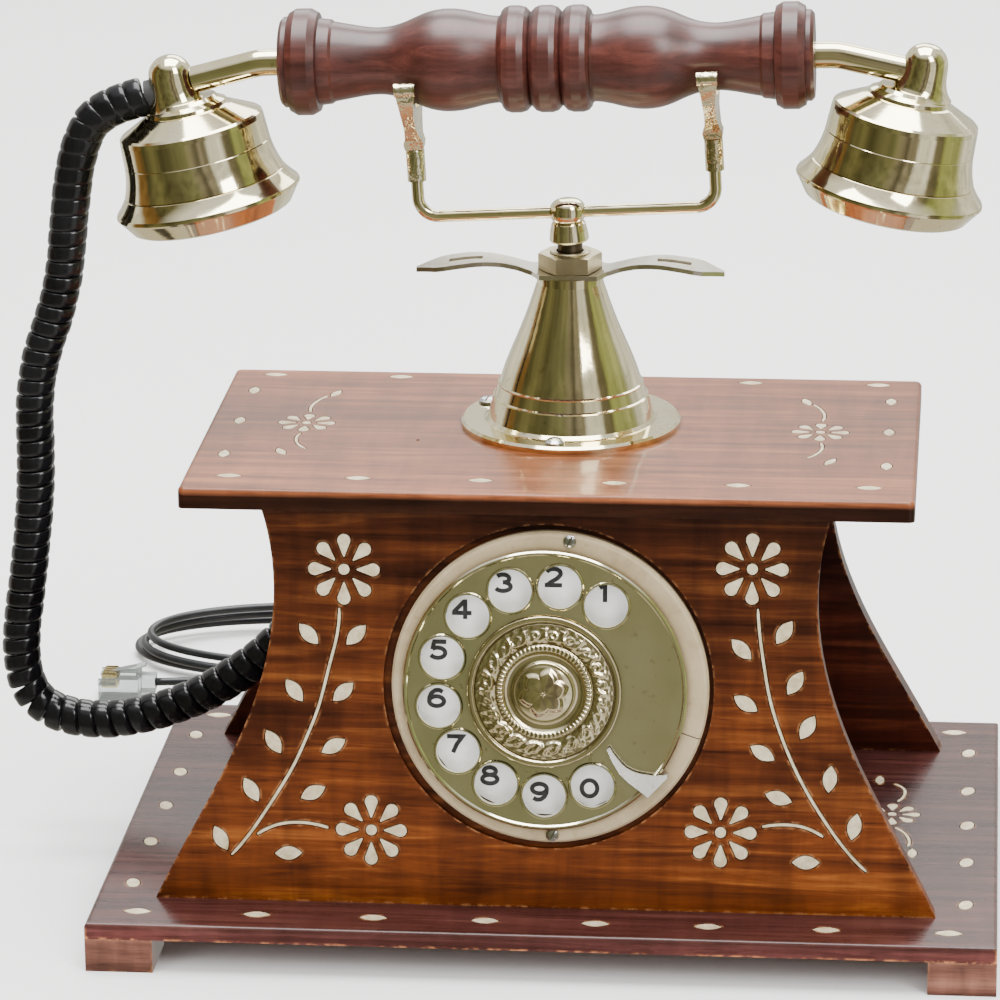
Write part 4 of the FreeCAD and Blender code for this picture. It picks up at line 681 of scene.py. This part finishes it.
wtc = wn("ShaderNodeTexCoord")
wsep = wn("ShaderNodeSeparateXYZ")
wt.links.new(wtc.outputs["Generated"], wsep.inputs[0])
az = wmath("ADD", wmath("MULTIPLY", wmath("ARCTAN2", wsep.outputs[0], wmath("MULTIPLY", wsep.outputs[1], -1.0)), 1 / (2 * math.pi)), 0.5)
W = (1.0, 1.0, 0.98)
BANDS = [(-180, W), (-108, W), (-100, (0.26, 0.15, 0.055)), (-86, (0.22, 0.13, 0.05)), (-80, (0.085, 0.080, 0.040)), (-62, (0.19, 0.18, 0.085)),
         (-44, (0.095, 0.090, 0.045)), (-20, (0.18, 0.18, 0.10)), (-8, (0.24, 0.245, 0.135)), (2, (0.27, 0.25, 0.19)), (10, (0.12, 0.11, 0.08)),
         (16, (0.36, 0.33, 0.27)), (24, (0.26, 0.24, 0.18)), (28, W), (50, W), (55, (0.24, 0.21, 0.15)), (66, (0.16, 0.15, 0.09)),
         (73, (0.36, 0.41, 0.16)), (104, (0.50, 0.54, 0.27)), (116, W), (180, W)]
bands = wramp(az, [((a_ + 180) / 360.0, c_) for a_, c_ in BANDS])
blot = wn("ShaderNodeTexNoise")
blot.inputs["Scale"].default_value = 5.0
blot.inputs["Detail"].default_value = 3.0
wt.links.new(wtc.outputs["Generated"], blot.inputs["Vector"])
blotc = wramp(blot.outputs["Fac"], [(0.35, (0.55, 0.55, 0.50)), (0.65, (1.25, 1.22, 1.15))])
mul = wn("ShaderNodeMix", data_type="RGBA", blend_type="MULTIPLY")
mul.inputs[0].default_value = 0.7
wt.links.new(bands, mul.inputs[6])
wt.links.new(blotc, mul.inputs[7])
sky = wn("ShaderNodeMix", data_type="RGBA")
wt.links.new(wramp(wmath("ADD", wmath("MULTIPLY", wsep.outputs[2], 0.5), 0.5), [(0.0, 0.0), (0.80, 0.0), (0.90, 1.0)]), sky.inputs[0])
wt.links.new(mul.outputs[2], sky.inputs[6])
sky.inputs[7].default_value = (1.0, 1.0, 1.0, 1)
low = wn("ShaderNodeMix", data_type="RGBA")
wt.links.new(wramp(wmath("ADD", wmath("MULTIPLY", wsep.outputs[2], 0.5), 0.5), [(0.0, 1.0), (0.17, 1.0), (0.27, 0.0)]), low.inputs[0])
wt.links.new(sky.outputs[2], low.inputs[6])
low.inputs[7].default_value = (0.74, 0.69, 0.58, 1)
bg = wn("ShaderNodeBackground")
bg.inputs[1].default_value = 1.0
wt.links.new(low.outputs[2], bg.inputs[0])
wo = wn("ShaderNodeOutputWorld")
wt.links.new(bg.outputs[0], wo.inputs[0])


def area(name, at, target, size, power, size_y=None, colour=(1, 1, 1)):
    d = bpy.data.lights.new(name, "AREA")
    d.energy = power
    d.color = colour
    d.size = size
    if size_y:
        d.shape = "RECTANGLE"
        d.size_y = size_y
    o = bpy.data.objects.new(name, d)
    o.location = at
    o.rotation_euler = (Vector(target) - Vector(at)).to_track_quat("-Z", "Y").to_euler()
    bpy.context.scene.collection.objects.link(o)
    return o


area("key_softbox", (1.0, -1.25, 1.5), (0, 0, 0.12), 0.7, 28, 1.0)
fill = area("fill_softbox", (-1.1, -1.5, 0.9), (0, 0, 0.12), 1.0, 17, 0.9)
front = area("front_softbox", (0.1, -2.0, 1.3), (0, 0, 0.10), 1.2, 13, 0.9)
fill.visible_glossy = False
front.visible_glossy = False
area("rear_softbox", (0.2, 1.6, 1.3), (0, 0, 0.1), 1.6, 22, 0.9)
area("top_softbox", (0.0, 0.1, 2.0), (0, 0, 0.0), 1.6, 95, 1.6)

bpy.context.view_layer.update()
